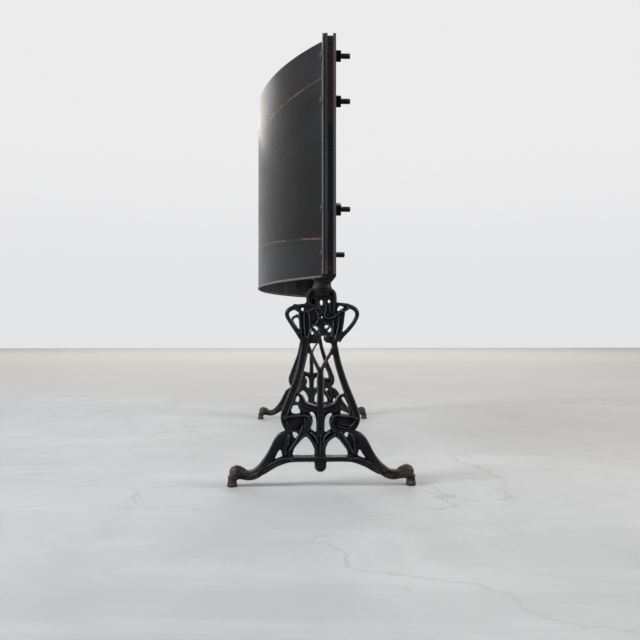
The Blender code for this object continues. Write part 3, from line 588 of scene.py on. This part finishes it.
def legs(c):
    """Upper legs, knees, shins and feet; each side follows its own line."""
    left = [(-38.5, 326), (-38.2, 312), (-39, 300), (-43, 280), (-49.4, 250),
            (-58.6, 220), (-70, 190), (-77.6, 170), (-83.6, 153), (-82.4, 138),
            (-75, 124), (-66, 116)]
    left_width = [9.4, 9.6, 9.2, 8.8, 8.4, 9.2, 9.2, 9.2, 8.6, 7.8, 7.4, 6.6]
    right = [(26, 330), (25.8, 312), (27.6, 300), (31.2, 280), (39.2, 250),
             (49.2, 220), (60.8, 190), (68.6, 170), (74.2, 153), (73.4, 138),
             (66, 125), (57.6, 117)]
    right_width = [6.4, 6.6, 7.2, 7.4, 7.8, 8.2, 8.8, 8.8, 8.6, 8.2, 7.4, 6.6]

    def shifted(path, widths, share, radius):
        """The path moved sideways by a share of its half width."""
        moved = []
        for i, point in enumerate(path):
            before = path[max(i - 1, 0)]
            after = path[min(i + 1, len(path) - 1)]
            along = Vector((after[0] - before[0], after[1] - before[1])).normalized()
            moved.append((point[0] - along.y * widths[i] * share,
                          point[1] + along.x * widths[i] * share, radius * widths[i]))
        return moved

    for path, widths in ((left, left_width), (right, right_width)):
        c.bar([(p[0], p[1], w * 0.80) for p, w in zip(path, widths)], 0.70)
        c.bar(shifted(path, widths, 0.66, 0.34), 2.6)
        c.bar(shifted(path, widths, -0.64, 0.36), 2.2)
        c.bar(shifted(path, widths, 0.05, 0.30), 2.2)
    shin_left = [(-73, 113, 7), (-85, 110.5, 9.4), (-94.6, 101.5, 10.6),
                 (-103.2, 85.5, 10.4), (-111.6, 69.5, 10.2), (-122.6, 51.5, 11),
                 (-138, 33, 12), (-154, 24.2, 11.8), (-169.6, 24.4, 11.4),
                 (-179.5, 28.3, 14.4), (-188.6, 29.2, 17.4), (-196.4, 28.4, 13.6), (-202.4, 26.6, 6)]
    shin_right = [(63, 112, 7), (76, 110, 9.2), (86.4, 100.5, 10.6),
                  (95.6, 84.5, 10.4), (104, 69, 10.2), (115.2, 51.5, 11),
                  (133, 33, 12), (150, 24, 11.8), (167.4, 24.4, 11.4),
                  (177.3, 28.3, 14.4), (186.4, 29.2, 17.4), (194.2, 28.4, 13.6), (200.2, 26.6, 6)]
    for side, shin in ((-1, shin_left), (1, shin_right)):
        c.bar(shin, 1)
        path = [(p[0], p[1]) for p in shin[1:9]]
        widths = [p[2] for p in shin[1:9]]
        c.bar(shifted(path, widths, 0.62 * side, 0.34), 3)
        c.bar(shifted(path[:6], widths[:6], -0.66 * side, 0.26), 3.4)
        foot = 196.2 * side - 1.1
        c.take(lathe_mesh([(10.6, 0), (11.4, 1.6), (11.3, 4.4), (9.8, 8), (9.2, 14),
                           (9.5, 24)], 32, 1.25, foot))


def lattice(c):
    """Sill, arches, leaves, column and curls between the legs."""
    c.bar([(-134, 29, 7), (-121, 37, 7.6), (-107, 45.6, 7.6), (-91, 51.8, 7),
           (-75, 55.8, 6.2), (-55, 56.6, 5.6), (-4.5, 56.8, 5.8), (46, 56.6, 5.6),
           (66, 55.8, 6.2), (82, 51.8, 7), (98, 45.6, 7.6), (113, 37, 7.6),
           (127, 29, 7)], 1.6)
    c.slab([(-66, 63.8), (-40, 64.2), (-4.5, 64.4), (31, 64.2), (57, 63.8), (63, 60),
            (56, 56.6), (-4.5, 56.6), (-65, 56.6), (-72, 60)], 14)
    c.bar([(-120, 43.6, 3.4), (-107, 52.2, 3.6), (-92, 58.6, 3.8), (-78, 61, 4),
           (-66, 61.6, 3.8)], 3.4)
    c.bar([(111, 43.6, 3.4), (98, 52.2, 3.6), (83, 58.6, 3.8), (69, 61, 4),
           (57, 61.6, 3.8)], 3.4)
    # thin webs that the openings are pierced through
    c.slab([(-80, 58), (-86, 62), (-88, 78), (-84, 98), (-76, 112),
            (-64, 119), (-30, 120), (-4.5, 120), (20, 120), (55, 119),
            (67, 112), (75, 98), (79, 78), (77, 62), (71, 58), (50, 57),
            (25, 57), (-4.5, 57), (-34, 57), (-59, 57)], 5)
    c.slab([(-82, 150), (-72, 170), (-62, 196), (-52, 201), (-46, 198),
            (-44, 186), (-40, 176), (-30, 170), (-12, 168), (3, 166),
            (20, 168), (30, 172), (34, 178), (37, 186), (40, 196),
            (45, 199), (52, 196), (60, 180), (68, 168), (76, 150),
            (72, 128), (60, 117), (40, 116), (18, 116), (-4.5, 116),
            (-27, 116), (-48, 116), (-68, 118), (-80, 128)], 3.6, 1)
    # column with two ridges, and the pendant boss under it
    c.bar([(-4.4, 258, 3.4), (-4.6, 250, 5.6), (-4.6, 238, 6.8), (-4.8, 200, 7.2),
           (-4.8, 166, 8.2), (-4.6, 148, 8), (-4.5, 125, 8.4), (-4.5, 105, 9),
           (-4.5, 82, 9.8), (-4.5, 60, 11.5)], 0.95)
    for side in (-1, 1):
        x = -4.6
        c.bar([(x + 2.0 * side, 252, 2), (x + 4.8 * side, 240, 2.5),
               (x + 5.0 * side, 200, 2.6), (x + 5.6 * side, 166, 2.6),
               (x + 5.6 * side, 148, 2.4), (x + 5.8 * side, 124, 2.5),
               (x + 7.0 * side, 100, 2.8), (x + 9.0 * side, 80, 3),
               (x + 10.0 * side, 66, 3.2)], 3.4)
    c.rib([(-4.6, 112, 1.8), (-4.6, 98, 2.2), (-4.6, 84, 2.8), (-4.6, 67, 3)], 1.6, 7)
    c.take(lathe_mesh([(12.8, 42), (13.3, 47), (13.2, 51), (12, 52.6), (12.2, 58)], 32,
                      0.95, -4.5))
    c.ball(-4.5, 42.6, 13.4, 13, 13.4)
    # arches and diagonals over the two lower openings
    c.bar([(-12.4, 66, 5), (-12.9, 78, 5.2), (-15.6, 88, 5.2), (-20.2, 97, 5.2),
           (-25.4, 104.4, 5.2), (-31, 110, 5), (-39, 114.4, 4.8)], 2.3)
    c.bar([(2.6, 66, 5), (1.6, 78, 5.2), (3.2, 86, 5.2), (6.2, 93, 5.2),
           (10.6, 100, 5.2), (16.4, 105.2, 5), (22.4, 109, 4.8), (29, 111.6, 4.6)], 2.3)
    c.rib([(0.8, 94, 1.8), (3.4, 104, 2), (9, 112.4, 2.2), (17.6, 119, 2.4)], 1.6, 9.4)
    c.rib([(-10.6, 94, 1.8), (-13.6, 103, 2), (-19.4, 111, 2.2), (-27.6, 117.4, 2.4)], 1.6, 9.4)
    c.bar([(-41, 131, 3.8), (-43.4, 121, 5), (-48, 111, 5.6), (-54.6, 98, 5.8),
           (-63.6, 85, 6), (-70.4, 74, 6.4), (-73.6, 61, 6.4)], 1.5)
    c.rib([(-43, 133, 1.8), (-47.6, 121, 2), (-52, 110, 2.1), (-58.8, 98.4, 2.1),
           (-67, 86, 2.1), (-73, 77, 2.2)], 1.6, 9)
    c.rib([(-39.6, 117, 1.5), (-44.4, 108.4, 1.6), (-51, 100, 1.6), (-60, 89, 1.6),
           (-66.2, 79, 1.7)], 1.6, 8.4)
    c.bar([(32, 119, 4.4), (39, 110.6, 5.2), (47.4, 98, 5.6), (56.6, 83.6, 5.8),
           (62.4, 71, 6.2), (64, 60, 6.4)], 1.5)
    c.rib([(40.6, 117, 2), (50.6, 101, 2.1), (60.6, 85, 2.2), (66.6, 72, 2.2)], 1.6, 8.8)
    c.rib([(33, 110.6, 1.5), (42.6, 97, 1.6), (52, 84, 1.6), (57.4, 73, 1.7)], 1.6, 8.2)
    # haunches
    c.slab([(-63, 101), (-69, 112), (-80, 116), (-91, 104), (-99, 90),
            (-107, 74), (-110, 58), (-92, 56), (-78, 58), (-71, 68), (-65, 84)], 6)
    c.slab([(54, 101), (60, 112), (71, 116), (82, 104), (91, 90),
            (99, 74), (102, 58), (84, 56), (69, 58), (62, 68), (56, 84)], 6)
    c.bar([(-74, 113, 4.6), (-77.6, 101, 5.6), (-80, 86, 5.6), (-80.6, 68, 5.4)], 1.9)
    c.rib([(-72, 112, 1.6), (-74.4, 100, 1.8), (-76, 88, 1.6)], 1.5, 9.4)
    c.bar([(65, 113, 5), (68.4, 101, 6.2), (70.4, 86, 6), (71.2, 68, 5.4)], 1.9)
    # leaves: an upward ledge over a smooth pouch, with a roll that runs down into the diagonal
    c.bar([(-84, 147, 3.8), (-74, 151.6, 3.6), (-62, 152.8, 3.8), (-48, 153.6, 3.8),
           (-36, 153.6, 4.2), (-29, 150, 4.4)], 3.2)
    c.bar([(-36, 149, 5.4), (-30.4, 142, 7.8), (-31.6, 130, 7.8), (-37.6, 119, 6.6),
           (-44, 110, 5.2)], 1.45)
    c.rib([(-40, 149, 1.7), (-37.6, 139, 1.9), (-38.8, 128, 1.9), (-44, 116, 1.9)], 1.6, 7.6)
    c.rib([(-30.6, 150, 1.6), (-25.4, 142, 1.8), (-26.6, 131, 1.8), (-32, 120, 1.9)], 1.6, 8.6)
    c.ball(-61, 134, 18, 6.4, 16, 1)
    c.bar([(-82, 130, 3.4), (-74, 121, 3.8), (-64, 118.4, 3.4), (-54, 117.6, 3.4)], 2)
    c.bar([(76, 146, 4), (66, 150.6, 3.8), (54, 151.6, 4.2), (40, 153, 3.8),
           (28, 153.6, 3.8), (21, 149, 4.2)], 3.2)
    c.bar([(28, 149, 4.8), (22.6, 141, 6.8), (23.2, 130, 6.8), (28.8, 120, 6),
           (36, 113, 5)], 1.45)
    c.rib([(21.6, 149, 1.5), (17.6, 140, 1.7), (19.6, 128, 1.7), (27, 118, 1.8)], 1.6, 8)
    c.ball(45, 134, 19, 6, 16, 1)
    c.rib([(66, 133, 1.5), (56, 132, 1.5), (44, 134.4, 1.4), (33, 139, 1.2)], 1.4, 6.2)
    c.rib([(64, 127, 1.5), (52, 125.4, 1.5), (41, 127.6, 1.4), (31, 132, 1.2)], 1.4, 6)
    c.rib([(60, 120.6, 1.6), (48, 119.4, 1.5), (37, 121.6, 1.4)], 1.4, 5)
    c.rib([(60.6, 128.6, 1.6), (65.6, 134, 1.8), (71, 142, 1.6)], 1.6, 8)
    for outline in (
            # lower arches
            [(-63.5, 75.5), (-62.6, 79.5), (-60, 84), (-55, 90), (-50, 95.5),
             (-45, 101), (-41, 105), (-37.5, 107), (-33.5, 105.6), (-29, 100.6),
             (-25, 94.8), (-21.5, 88), (-19, 82), (-17.8, 77), (-18, 71),
             (-18.6, 64.5), (-60, 64.5), (-64.5, 66.4), (-65.6, 70)],
            [(6.5, 77), (8, 84), (10.5, 90), (14, 96), (19, 100.4), (24, 103.8),
             (28, 105.8), (32, 104), (36.5, 99.5), (42, 92.5), (46, 87.5), (50, 82),
             (52.5, 78), (53.8, 74), (55.4, 69), (54.4, 65.6), (51, 64.5), (8, 64.5),
             (6.8, 70)],
            # between the leaves, the diagonals and the haunches
            [(-66, 116.5), (-63, 118), (-57.5, 116.6), (-53.5, 112.4), (-56, 107.5),
             (-59.5, 103), (-62, 104.5), (-64.2, 110)],
            [(47, 112.5), (50, 115.5), (55, 116.7), (57.2, 114), (55.5, 109),
             (53.5, 103.2), (50.5, 107.5)],
            # under the shins
            [(-93, 80), (-90.3, 76), (-89.6, 71), (-88.3, 67), (-89, 64.4),
             (-93, 62.4), (-98, 60.4), (-105, 57.4), (-102, 65), (-99.6, 70),
             (-96.5, 75.5)],
            [(80.8, 80), (78.4, 74), (77.3, 68), (78.3, 65), (84, 62.4), (90, 60.2),
             (96.4, 57.6), (93, 62), (89, 67.5), (86, 72), (83.2, 77)],
            # beside the column
            [(-28.5, 158.5), (-26, 160.8), (-22, 161), (-18.6, 157), (-16.2, 152),
             (-14.8, 146), (-13.9, 138), (-13.6, 130), (-13.9, 122), (-14.6, 117),
             (-17, 117.3), (-19.5, 120), (-24.5, 122.6), (-25.6, 126), (-24.4, 130),
             (-22.4, 134.5), (-21.2, 140), (-21.1, 144), (-22, 149), (-24.6, 153.5)],
            [(20.5, 157.6), (17, 158.4), (12, 156), (8, 152.4), (5.8, 147),
             (5, 140), (4.6, 130), (4.4, 120), (5.6, 117), (8.5, 117.3), (11.5, 120),
             (16.5, 122), (17.6, 125), (16.2, 129), (14.7, 135), (14.1, 141),
             (15, 146), (17.2, 150), (20.2, 154)],
            # above the leaves
            [(-57.5, 196), (-54.6, 198), (-52.4, 195), (-50.8, 190.6), (-51.6, 186),
             (-54, 180), (-54.4, 174), (-52, 168.6), (-49, 162.4), (-49, 159.4),
             (-53, 157.8), (-59, 157), (-64.5, 157.6), (-68, 160.4), (-68.4, 164.4),
             (-66.8, 169), (-64, 176), (-61, 184), (-59, 189)],
            [(42.2, 190), (43.4, 193.4), (46.4, 193.8), (49, 190), (52, 183.5),
             (55, 177), (57.6, 170), (59.4, 163), (60, 158.6), (58.6, 155.6),
             (50, 156.2), (43, 157.2), (38.4, 158.4), (40.4, 161.5), (41.6, 167),
             (41.2, 175), (41.4, 183)]):
        c.pierce(outline)
    # curls from the column to the legs
    c.bar([(-6, 159, 6), (-17, 165.4, 7.4), (-28, 169.6, 8), (-38, 173.6, 8),
           (-45.4, 183, 6.4), (-47.6, 192.4, 4.6), (-50.6, 198, 3.6), (-57, 199.6, 3.2)], 1.1)
    c.bar([(-28, 161, 4.6), (-38, 164, 6), (-47, 169, 4.6), (-50.4, 177, 3.6)], 1.6)
    c.bar([(-11, 172.6, 2.2), (-25, 177.2, 2.4), (-37, 182.4, 2.5), (-41.6, 191, 2.3),
           (-45.6, 198, 2.1)], 5.2)
    c.bar([(-3, 159, 6), (8, 164, 7.2), (18, 166.4, 7.4), (27.6, 170.6, 7.4),
           (34, 180, 6.2), (37.4, 190, 4.8), (42, 196.4, 3.6), (50, 198.6, 3.2)], 1.1)
    c.bar([(18, 161, 4.4), (28, 163, 5.6), (36, 168, 4.2), (39.6, 177, 3.2)], 1.6)
    c.bar([(2, 171.6, 2.2), (15, 174.6, 2.4), (26, 180.2, 2.5), (31.4, 189.4, 2.3),
           (36.6, 197.4, 2.1)], 5.2)
    # tendrils that meet on top of the column
    c.bar([(-32, 306, 5), (-27, 294, 4.6), (-19.6, 277, 4.4), (-12.6, 263, 4.4),
           (-6.6, 250, 4.6)], 1.5)
    c.bar([(24.6, 304, 4.6), (18.4, 291, 4), (9.6, 276, 3.8), (2.4, 263.6, 3.8),
           (-2.6, 250, 4.2)], 1.5)


def end_casting():
    """One whole end frame, standing on the floor at y = 0."""
    c = Casting()
    crown(c)
    legs(c)
    lattice(c)
    mesh = c.skin(CASTING_VOXEL, 3)
    mesh.transform(Matrix.Translation(Vector((CASTING_SHIFT, 0.0, 0.0))))
    return mesh


casting_mesh = end_casting()
for name, y, node in (("near_casting", NEAR_Y, "near_end_frame"), ("far_casting", FAR_Y, "far_end_frame")):
    piece = link(name, casting_mesh, IRON)
    piece.location = (0.0, y, 0.0)
    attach(piece, "frame")
    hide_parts(node)


# ---------------------------------------------------------------- platen, bolts and nuts
PITCH = 0.002117         # 12 threads per inch
THREAD_DEPTH = 0.00095
HEAD_HEIGHT = 0.0050
THREAD_START = 0.0290    # x at which the plain neck ends
SHANK_R = 0.00633
BORE_R = 0.00639
NUT_FLATS = 0.0240
NUT_TURN = math.radians(24.0)


def span(name):
    """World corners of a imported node."""
    node = NODES[name]
    points = [node.matrix_world @ Vector(corner) for corner in node.bound_box]
    low = Vector([min(p[i] for p in points) for i in range(3)])
    high = Vector([max(p[i] for p in points) for i in range(3)])
    return low, high


SHEET_LOW, SHEET_HIGH = span("bowed_platen")
SHEET_T = 0.0012
BOW_END = 0.482          # half the chord of the bow
FLANGE_X = SHEET_HIGH.x - SHEET_T / 2.0
BOW_DEPTH = FLANGE_X - (SHEET_LOW.x + SHEET_T / 2.0)
BOW_R = (BOW_END * BOW_END + BOW_DEPTH * BOW_DEPTH) / (2.0 * BOW_DEPTH)
BOW_X = FLANGE_X - BOW_DEPTH + BOW_R


def bow_plan(offset, steps, trim=0.0):
    """Points along the bow in plan, a given distance outside its middle line."""
    sweep = math.asin(BOW_END / BOW_R) - trim
    plan = []
    for step in range(steps + 1):
        turn = -sweep + 2.0 * sweep * step / steps
        plan.append((BOW_X - (BOW_R + offset) * math.cos(turn), (BOW_R + offset) * math.sin(turn)))
    return plan


def platen_mesh():
    """The sheet as one closed skin, fine enough to reflect as one smooth bow."""
    half = SHEET_T / 2.0
    out = [(FLANGE_X - half, SHEET_LOW.y)] + bow_plan(half, 260) + [(FLANGE_X - half, SHEET_HIGH.y)]
    back = [(FLANGE_X + half, SHEET_LOW.y)] + bow_plan(-half, 260) + [(FLANGE_X + half, SHEET_HIGH.y)]
    ring = out + back[::-1]
    heights = [SHEET_LOW.z + (SHEET_HIGH.z - SHEET_LOW.z) * i / 24.0 for i in range(25)]
    bm = bmesh.new()
    rows = [[bm.verts.new((x, y, z)) for x, y in ring] for z in heights]
    count = len(ring)
    tube_faces(bm, rows)
    for row in (rows[0], rows[-1]):
        for i in range(count // 2 - 1):
            bm.faces.new((row[i], row[i + 1], row[count - 2 - i], row[count - 1 - i]))
    bmesh.ops.recalc_face_normals(bm, faces=bm.faces)
    return baked(bm, "platen")


def bead_mesh():
    """Rolled wire edge under the platen."""
    low, high = span("bottom_rim_bead")
    curve = bpy.data.curves.new("bead", "CURVE")
    curve.dimensions = "3D"
    curve.bevel_depth = (high.z - low.z) / 2.0
    curve.bevel_resolution = 5
    curve.use_fill_caps = True
    plan = bow_plan(0.0, 240, 0.0080)
    line = curve.splines.new("POLY")
    line.points.add(len(plan) - 1)
    for knot, point in zip(line.points, plan):
        knot.co = (point[0], point[1], (low.z + high.z) / 2.0, 1.0)
    return evaluated(curve, "bead")


def swap(name, mesh, mat, body, node, sharp=35.0):
    """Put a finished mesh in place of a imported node, on the same body."""
    piece = link(name, mesh, mat)
    mesh.set_sharp_from_angle(angle=math.radians(sharp))
    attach(piece, body)
    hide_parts(node)
    return piece


swap("smooth_platen", platen_mesh(), JAPAN, "frame", "bowed_platen")
swap("rolled_edge", bead_mesh(), BEAD, "frame", "bottom_rim_bead")

def bolt_mesh(start, tip, y, z):
    """Domed carriage bolt along X: smooth head, plain neck, then a helical thread."""
    around = 32
    head_end = start + HEAD_HEIGHT
    rings = []
    head = [(start, 0.0004), (start + 0.0002, 0.0030), (start + 0.0008, 0.0062),
            (start + 0.0017, 0.0090), (start + 0.0028, 0.0112), (start + 0.0040, 0.0126),
            (head_end - 0.0002, 0.0132), (head_end, 0.0130), (head_end + 0.0001, SHANK_R),
            (THREAD_START, SHANK_R)]
    for x, r in head:
        rings.append([(x, r)] * around)
    pieces = int((tip - 0.0020 - THREAD_START) / (PITCH / 8.0))
    for k in range(1, pieces + 1):
        x = THREAD_START + PITCH / 8.0 * k
        ring = []
        for j in range(around):
            phase = (x / PITCH + j / around) % 1.0
            depth = abs(phase * 2.0 - 1.0)
            ring.append((x, SHANK_R - THREAD_DEPTH * depth))
        rings.append(ring)
    for x, r in ((tip - 0.0012, SHANK_R - 0.0009), (tip - 0.0003, SHANK_R - 0.0018),
                 (tip, SHANK_R - 0.0032)):
        rings.append([(x, r)] * around)
    bm = bmesh.new()
    rows = []
    for ring in rings:
        rows.append([bm.verts.new((x, y + r * math.cos(2.0 * math.pi * j / around),
                                   z + r * math.sin(2.0 * math.pi * j / around)))
                     for j, (x, r) in enumerate(ring)])
    tube_faces(bm, rows)
    bm.faces.new(rows[0])
    bm.faces.new(rows[-1])
    bmesh.ops.recalc_face_normals(bm, faces=bm.faces)
    return baked(bm, "bolt")


def nut_mesh(low, high, y, z):
    """Square nut with filed corners, a chamfered outer face and its bore."""
    thick = high.x - low.x
    bm = bmesh.new()
    bmesh.ops.create_cube(bm, size=1.0)
    bmesh.ops.scale(bm, vec=(NUT_FLATS, NUT_FLATS, thick), verts=bm.verts)
    upright = [e for e in bm.edges if abs(e.verts[0].co.z - e.verts[1].co.z) > 0.001]
    bmesh.ops.bevel(bm, geom=upright, offset=0.0012, segments=3, profile=0.5, affect="EDGES")
    rims = [e for e in bm.edges if abs(e.verts[0].co.z - e.verts[1].co.z) < 0.0001]
    bmesh.ops.bevel(bm, geom=rims, offset=0.0009, segments=2, profile=0.6, affect="EDGES")
    body = baked(bm, "nut")
    bm = bmesh.new()
    bmesh.ops.create_cone(bm, segments=32, radius1=BORE_R, radius2=BORE_R, depth=0.03, cap_ends=True)
    hole = baked(bm, "bore")
    base = bpy.data.objects.new("nut", body)
    tool = bpy.data.objects.new("bore", hole)
    for obj in (base, tool):
        bpy.context.scene.collection.objects.link(obj)
    cut = base.modifiers.new("bore", "BOOLEAN")
    cut.solver = "EXACT"
    cut.operation = "DIFFERENCE"
    cut.object = tool
    bpy.context.view_layer.update()
    mesh = bpy.data.meshes.new_from_object(base.evaluated_get(bpy.context.evaluated_depsgraph_get()))
    for obj in (base, tool):
        bpy.data.objects.remove(obj, do_unlink=True)
    mesh.transform(Matrix.Rotation(NUT_TURN, 4, "Z"))
    mesh.transform(Matrix.Rotation(math.radians(90.0), 4, "Y"))
    mesh.transform(Matrix.Translation(Vector(((low.x + high.x) / 2.0, y, z))))
    return mesh


for end in ("near", "far"):
    for number in range(1, 5):
        bolt = "%s_bolt_%d" % (end, number)
        low, high = span(bolt)
        y = (low.y + high.y) / 2.0
        z = (low.z + high.z) / 2.0
        swap("threaded_" + bolt, bolt_mesh(low.x, high.x, y, z), BLACK_BOLT,
             end + "_clamp", bolt, 50.0)
        nut = "%s_nut_%d" % (end, number)
        if nut not in NODES:
            continue
        low, high = span(nut)
        swap("filed_" + nut, nut_mesh(low, high, y, z), NUT_RUST_AND_TOP_LIGHT, nut, nut)


# ---------------------------------------------------------------- stage, light and camera
REACH = 8.86
floor_mesh = bpy.data.meshes.new("floor")
floor_mesh.from_pydata([(-REACH, -REACH, 0.0), (REACH, -REACH, 0.0), (REACH, REACH, 0.0),
                        (-REACH, REACH, 0.0)], [], [(0, 1, 2, 3)])
floor = bpy.data.objects.new("floor", floor_mesh)
bpy.context.scene.collection.objects.link(floor)
floor_mesh.materials.append(concrete())

world = bpy.data.worlds.new("studio")
bpy.context.scene.world = world
world.use_nodes = True
tree = world.node_tree
back = tree.nodes["Background"]
coord = tree.nodes.new("ShaderNodeTexCoord")
split = tree.nodes.new("ShaderNodeSeparateXYZ")
tree.links.new(coord.outputs["Generated"], split.inputs[0])


def sky(low, high, out_low, out_high, socket):
    """Smooth step of one world value."""
    node = tree.nodes.new("ShaderNodeMapRange")
    node.interpolation_type = "SMOOTHSTEP"
    node.inputs["From Min"].default_value = low
    node.inputs["From Max"].default_value = high
    node.inputs["To Min"].default_value = out_low
    node.inputs["To Max"].default_value = out_high
    tree.links.new(socket, node.inputs["Value"])
    return node.outputs["Result"]


def sky_math(operation, a, b):
    """Maths node for the world."""
    node = tree.nodes.new("ShaderNodeMath")
    node.operation = operation
    for socket, value in zip(node.inputs, (a, b)):
        tree.links.new(value, socket)
    return node.outputs[0]


def sky_mix(factor, a, b):
    """Colour mix for the world, from fixed colours or from sockets."""
    node = tree.nodes.new("ShaderNodeMix")
    node.data_type = "RGBA"
    tree.links.new(factor, node.inputs[0])
    for socket, value in ((node.inputs[6], a), (node.inputs[7], b)):
        if isinstance(value, tuple):
            socket.default_value = (value[0], value[1], value[2], 1.0)
        else:
            tree.links.new(value, socket)
    return node.outputs[2]


depth = sky(0.0, 0.98, 0.08, 0.90, split.outputs[1])
lift = sky(0.25, 0.95, 0.0, 0.30, split.outputs[2])
graze = sky(0.90, 1.0, 0.0, 0.75, split.outputs[1])
amount = sky_math("ADD", sky_math("ADD", depth, lift), graze)
light_tone = sky_mix(amount, (0.0, 0.0, 0.0), (0.96, 0.98, 1.02))
wall_tone = sky_mix(sky(0.0, 0.30, 0.0, 1.0, split.outputs[2]), (0.775, 0.780, 0.795),
                    (0.835, 0.835, 0.842))
# the wall is what the camera, gloss and glass see; the rest of the light comes from light_tone
rays = tree.nodes.new("ShaderNodeLightPath")
seen = sky_math("MAXIMUM", rays.outputs["Is Camera Ray"], rays.outputs["Is Glossy Ray"])
seen = sky_math("MAXIMUM", seen, rays.outputs["Is Transmission Ray"])
tree.links.new(sky_mix(seen, light_tone, wall_tone), back.inputs["Color"])
back.inputs["Strength"].default_value = 1.0


def area(name, spot, target, size, power, tone):
    """Rectangular lamp that faces a target."""
    lamp = bpy.data.lights.new(name, "AREA")
    lamp.shape = "RECTANGLE"
    lamp.size = size[0]
    lamp.size_y = size[1]
    lamp.energy = power
    lamp.color = tone
    obj = bpy.data.objects.new(name, lamp)
    bpy.context.scene.collection.objects.link(obj)
    obj.location = spot
    obj.rotation_euler = (Vector(target) - Vector(spot)).to_track_quat("-Z", "Y").to_euler()


area("window_left", (-3.0, -1.3, 2.2), (0.0, -0.3, 0.4), (1.0, 1.3), 138.0, (0.88, 0.94, 1.0))
area("window_right", (3.0, -0.7, 2.1), (0.0, -0.3, 0.4), (0.8, 1.2), 80.0, (1.0, 0.98, 0.96))
area("skylight", (0.0, 0.6, 4.6), (0.0, 0.0, 0.0), (4.0, 4.0), 24.0, (1.0, 1.0, 1.0))
area("far_light", (0.0, 6.5, 3.6), (0.0, 6.5, 0.0), (10.0, 4.0), 262.0, (1.0, 0.955, 0.91))

camera_data = bpy.data.cameras.new("camera")
camera_data.sensor_width = 36.0
camera_data.lens = 36.0 * 622.0 / 640.0
camera = bpy.data.objects.new("camera", camera_data)
bpy.context.scene.collection.objects.link(camera)
camera.location = (-0.0495, -1.870, 0.345)
yaw = math.radians(1.888)
pitch = math.radians(0.737)
camera.rotation_euler = (math.radians(90.0) + pitch, 0.0, -yaw)
bpy.context.scene.camera = camera
bpy.context.scene.view_settings.view_transform = "Standard"
